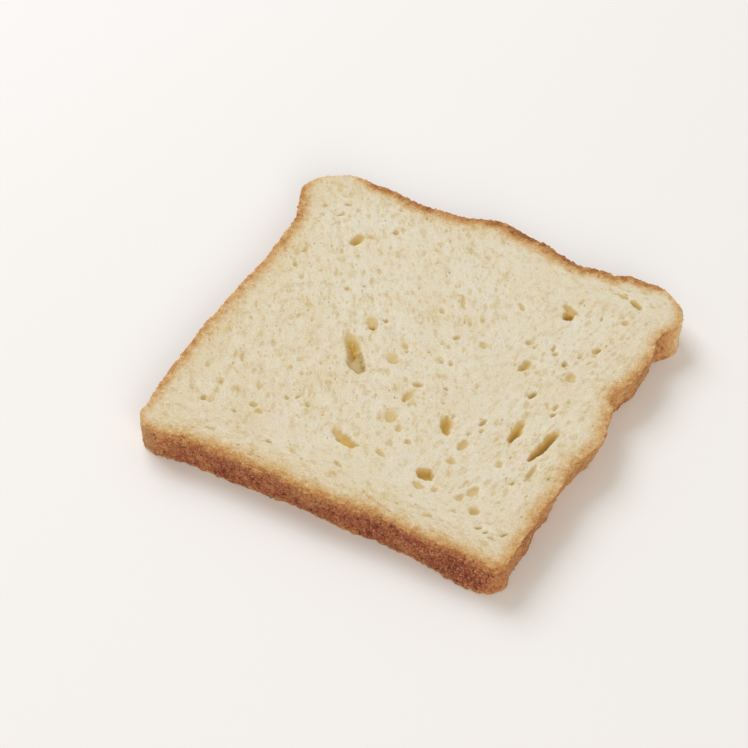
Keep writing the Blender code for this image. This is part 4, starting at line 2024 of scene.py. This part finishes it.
    def drawn_out(
        self, sheet: NodeSheet, along: Along, pores: Tree, kind: PoreKind
    ) -> tuple[Socket, Socket]:
        """Pores and fibres of one kind in the strata's three directions, added by their shares.

        Args:
            sheet: Sheet of the material.
            along: Coordinates and the strata's shares.
            pores: Group of the fine pores.
            kind: Kind of pore.

        Returns:
            The pores' mask and the fibres, each from 0 to 1.
        """
        place, shares = along
        turns = (self.strata.slant, self.strata.upright, self.strata.level)
        spots, waves = None, None
        for turn, weight in zip(turns, shares.outputs):
            rotation = (0.0, 0.0, math.radians(turn))
            layer = sheet.group(
                pores, vector=place, rotation=rotation, size=kind.cell, share=kind.share
            )
            mask = sheet.times(layer.outputs["Mask"], weight)
            wave = sheet.times(layer.outputs["Fibre"], weight)
            spots = mask if spots is None else sheet.plus(spots, mask)
            waves = wave if waves is None else sheet.plus(waves, wave)
        return spots, waves


@dataclass(frozen=True)
class CrustFinish:
    """Browned, grainy crust, with painted highlights on its grains, painted shade in its pits and
    pale specks that are partly painted glints.

    Attributes:
        grains: Noise of the grains.
        grain_highlight: How much paler it makes the grains' tops, as a painted highlight.
        flecks: Noise of the paler and darker flecks.
        fleck_browning: How far they are browned more or less.
        fibres: Noise whose middle value makes a net of pale fibres.
        fibre_shown: Distance from that value over which a fibre fades.
        fibre_browning: How much less the fibres are browned.
        pits: Noise of the pits, and what of it is a pit.
        pit_shade: How much more the pits are browned, as painted shade.
        rough: How uneven the crust is, by its browning.
        specks: Noise of the pale specks, and what of it shows.
        speck_dark: How far they show, by the browning.
        speck_and_glint_colour: Their colour, of pale bits of crumb and of painted glints.
        fibre_relief, pit_relief: Height of a fibre and depth of a pit beside the grains' height.
        relief: Depth of the relief in metres, and the share of it that shows.
        roughness: Of the surface.
    """

    grains: Grain = Grain(0.0008, 2.0, 0.7)
    # Painted highlight on the grains' tops.
    grain_highlight: Ramp = Ramp(0.46, 0.66, -0.05, 0.19)
    flecks: Grain = Grain(0.0026, 3.0, 0.6)
    fleck_browning: float = 0.5
    fibres: Grain = Grain(0.0015, 3.0, 0.6)
    fibre_shown: Ramp = Ramp(0.03, 0.0)
    fibre_browning: float = 0.17
    pits: tuple[Grain, Ramp] = (Grain(0.0014, 2.0, 0.6), Ramp(0.4, 0.3))
    # Painted shade in the crust's pits.
    pit_shade: float = 0.2
    rough: Ramp = Ramp(0.1, 0.75, 0.6, 1.0)
    specks: tuple[Grain, Ramp] = (Grain(0.0006, 2.0, 0.6), Ramp(0.52, 0.72, 0.0, 0.7))
    speck_dark: Ramp = Ramp(0.45, 0.8, 0.1, 1.0)
    # Pale specks: partly bits of crumb, partly painted glints.
    speck_and_glint_colour: Screen = (216, 168, 134)
    fibre_relief: float = 0.15
    pit_relief: float = 0.5
    relief: Pair = (0.0009, 1.0)
    roughness: float = 0.6

    def material(self, toast: Tree) -> bpy.types.Material:
        """Makes the material.

        Args:
            toast: Group of the toast colours.

        Returns:
            The material.
        """
        made, sheet, shader, place = principled("crust", self.roughness)
        browned = sheet.trait(Trait.TOAST)
        grains, flecks = sheet.noise(place, self.grains), sheet.noise(place, self.flecks)
        off = sheet.math("ABSOLUTE", sheet.minus(sheet.noise(place, self.fibres), 0.5))
        fibres = sheet.span(off, *self.fibre_shown)
        pits = sheet.noise(place, *self.pits)
        rough = sheet.span(browned, *self.rough)
        # Paler grain tops are a painted highlight, on top of the real bump.
        change = sheet.span(grains, *self.grain_highlight)
        change = sheet.plus(change, sheet.times(sheet.minus(flecks, 0.5), self.fleck_browning))
        change = sheet.plus(change, sheet.times(fibres, self.fibre_browning))
        # Darker pits are painted shade, besides the real dip in the bump.
        change = sheet.minus(change, sheet.times(pits, self.pit_shade))
        change = sheet.times(change, rough)
        toasted = sheet.math("SUBTRACT", browned, change, clamp=True)
        base = sheet.group(toast, toast=toasted).outputs[0]
        # Pale specks: partly bits of crumb, partly painted glints.
        specks = sheet.noise(place, *self.specks)
        dark = sheet.span(browned, *self.speck_dark)
        base = sheet.mix(sheet.times(specks, dark), base, paint(*self.speck_and_glint_colour))
        sheet.feed(shader.inputs["Base Color"], base)
        height = sheet.plus(sheet.times(fibres, self.fibre_relief), sheet.plus(grains, flecks))
        height = sheet.minus(height, sheet.times(pits, self.pit_relief))
        sheet.bump(shader, sheet.times(height, rough), *self.relief)
        return made


# ---- The studio ----


@dataclass(frozen=True)
class SoftBox:
    """A square soft light that points at the middle of the slice.

    Attributes:
        name: Name of the light.
        place: Where it stands, in metres.
        size: Length of its sides.
        watts: Its power.
        colour: Its linear colour.
    """

    name: str
    place: Triple
    size: float
    watts: float
    colour: Triple


def aimed(name: str, data: bpy.types.ID, place: Triple, back: Triple) -> bpy.types.Object:
    """Places a lamp or a camera with its back turned to a direction and its top upwards.

    Args:
        name: Name of the object.
        data: The lamp or the camera.
        place: Where it stands.
        back: Direction that its back is turned to.

    Returns:
        The object, linked to the scene.
    """
    item = bpy.data.objects.new(name, data)
    item.location = place
    item.rotation_euler = Vector(back).to_track_quat("Z", "Y").to_euler()
    bpy.context.scene.collection.objects.link(item)
    return item


@dataclass(frozen=True)
class Studio:
    """Pale floor, soft light and the camera.

    Attributes:
        camera_place: Where the camera stands, in metres.
        camera_back: Direction from what it looks at to the camera.
        lens: Focal length in millimetres.
        sensor: Width of the sensor, in millimetres.
        clip: Nearest and farthest that the camera sees, in metres.
        boxes: The soft lights.
        sky: Brightness of the light from all round.
        sky_colour: Its colour.
        floor_colour: The floor's colour.
        floor_roughness: Its roughness.
        floor_half: Half its size.
    """

    camera_place: Triple = (0.24020, -0.45824, 0.54012)
    camera_back: Triple = (0.33423, -0.60696, 0.72104)
    lens: float = 125.13
    sensor: float = 36.0
    clip: Pair = (0.01, 20.0)
    boxes: tuple[SoftBox, ...] = (
        SoftBox("key_light", (-1.08, 0.61, 1.22), 1.08, 22.0, (0.87, 0.92, 1.0)),
        SoftBox("front_light", (1.0, -1.2, 0.9), 1.05, 14.0, (1.0, 0.95, 0.88)),
    )
    sky: float = 0.53
    sky_colour: Triple = (1.0, 0.94, 0.86)
    floor_colour: Triple = (0.80, 0.785, 0.765)
    floor_roughness: float = 0.7
    floor_half: float = 3.0

    def build(self) -> None:
        """Makes the floor, the lights and the camera."""
        self.make_floor()
        self.make_sky()
        for box in self.boxes:
            self.make_box(box)
        self.make_camera()

    def make_floor(self) -> None:
        """A plain pale floor."""
        corners = self.floor_half * np.array(((-1, -1, 0), (1, -1, 0), (1, 1, 0), (-1, 1, 0)))
        floor = mesh_object("floor", corners, (np.array(((0, 1, 2, 3),)),))
        made = bpy.data.materials.new("floor")
        made.use_nodes = True
        shader = made.node_tree.nodes["Principled BSDF"]
        shader.inputs["Base Color"].default_value = (*self.floor_colour, 1)
        shader.inputs["Roughness"].default_value = self.floor_roughness
        floor.data.materials.append(made)

    def make_sky(self) -> None:
        """Even light from all round."""
        world = bpy.data.worlds.new("studio")
        world.use_nodes = True
        sky = world.node_tree.nodes["Background"]
        sky.inputs["Color"].default_value = (*self.sky_colour, 1)
        sky.inputs["Strength"].default_value = self.sky
        bpy.context.scene.world = world

    def make_box(self, box: SoftBox) -> None:
        """One soft light, turned to face the slice.

        Args:
            box: The light's place, size, power and colour.
        """
        lamp = bpy.data.lights.new(box.name, "AREA")
        lamp.energy = box.watts
        lamp.size = box.size
        lamp.color = box.colour
        aimed(box.name, lamp, box.place, box.place)

    def make_camera(self) -> None:
        """The camera, level with the horizon of its view."""
        lens = bpy.data.cameras.new("camera")
        lens.lens = self.lens
        lens.sensor_width = self.sensor
        lens.clip_start, lens.clip_end = self.clip
        bpy.context.scene.camera = aimed("camera", lens, self.camera_place, self.camera_back)
        bpy.context.scene.view_settings.view_transform = "Standard"


# ---- Putting it together ----

UPPER_DRAWS = (
    PoreDraw(380, (1.8, 4.6), (0.35, 0.65), (0.06, 0.5), 2.0, 1.5, 54.0, 101),
    PoreDraw(360, (1.5, 2.6), (0.45, 0.7), (0.07, 0.5), 2.0, 1.5, 55.0, 102),
)
LOWER_DRAWS = (
    RestHoles(),
    PoreDraw(420, (1.8, 4.0), (0.5, 0.85), (0.12, 0.7), 2.2, 1.3, 53.0, 202),
    PoreDraw(500, (1.6, 2.4), (0.6, 0.8), (0.15, 0.8), 2.2, 1.2, 55.0, 203),
)


def make_slice() -> None:
    """Builds and dresses the slice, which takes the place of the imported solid."""
    bread = BreadSlice(
        outline=Outline(),
        relief=CrustRelief(),
        browning=Browning(),
        upper=CutFace(SHOWN_HOLES, UPPER_DRAWS),
        lower=CutFace((), LOWER_DRAWS, seed=171),
    )
    piece = bread.build("sandwich_slice")
    crumb = CrumbFinish(Strata()).material(CRUMB_COLOURS.group(), FinePores().group())
    piece.data.materials.append(crumb)
    piece.data.materials.append(CrustFinish().material(CRUST_COLOURS.group()))
    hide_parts(NODE)
    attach(piece, BODY)
    LOG.info("%s: %d faces", piece.name, len(piece.data.polygons))


def main() -> None:
    """Builds the slice and the studio in order."""
    logging.basicConfig(level=logging.INFO)
    make_slice()
    studio = Studio()
    studio.build()
    LOG.info("studio: floor, %d soft lights and a camera", len(studio.boxes))


if __name__ == "__main__":
    main()
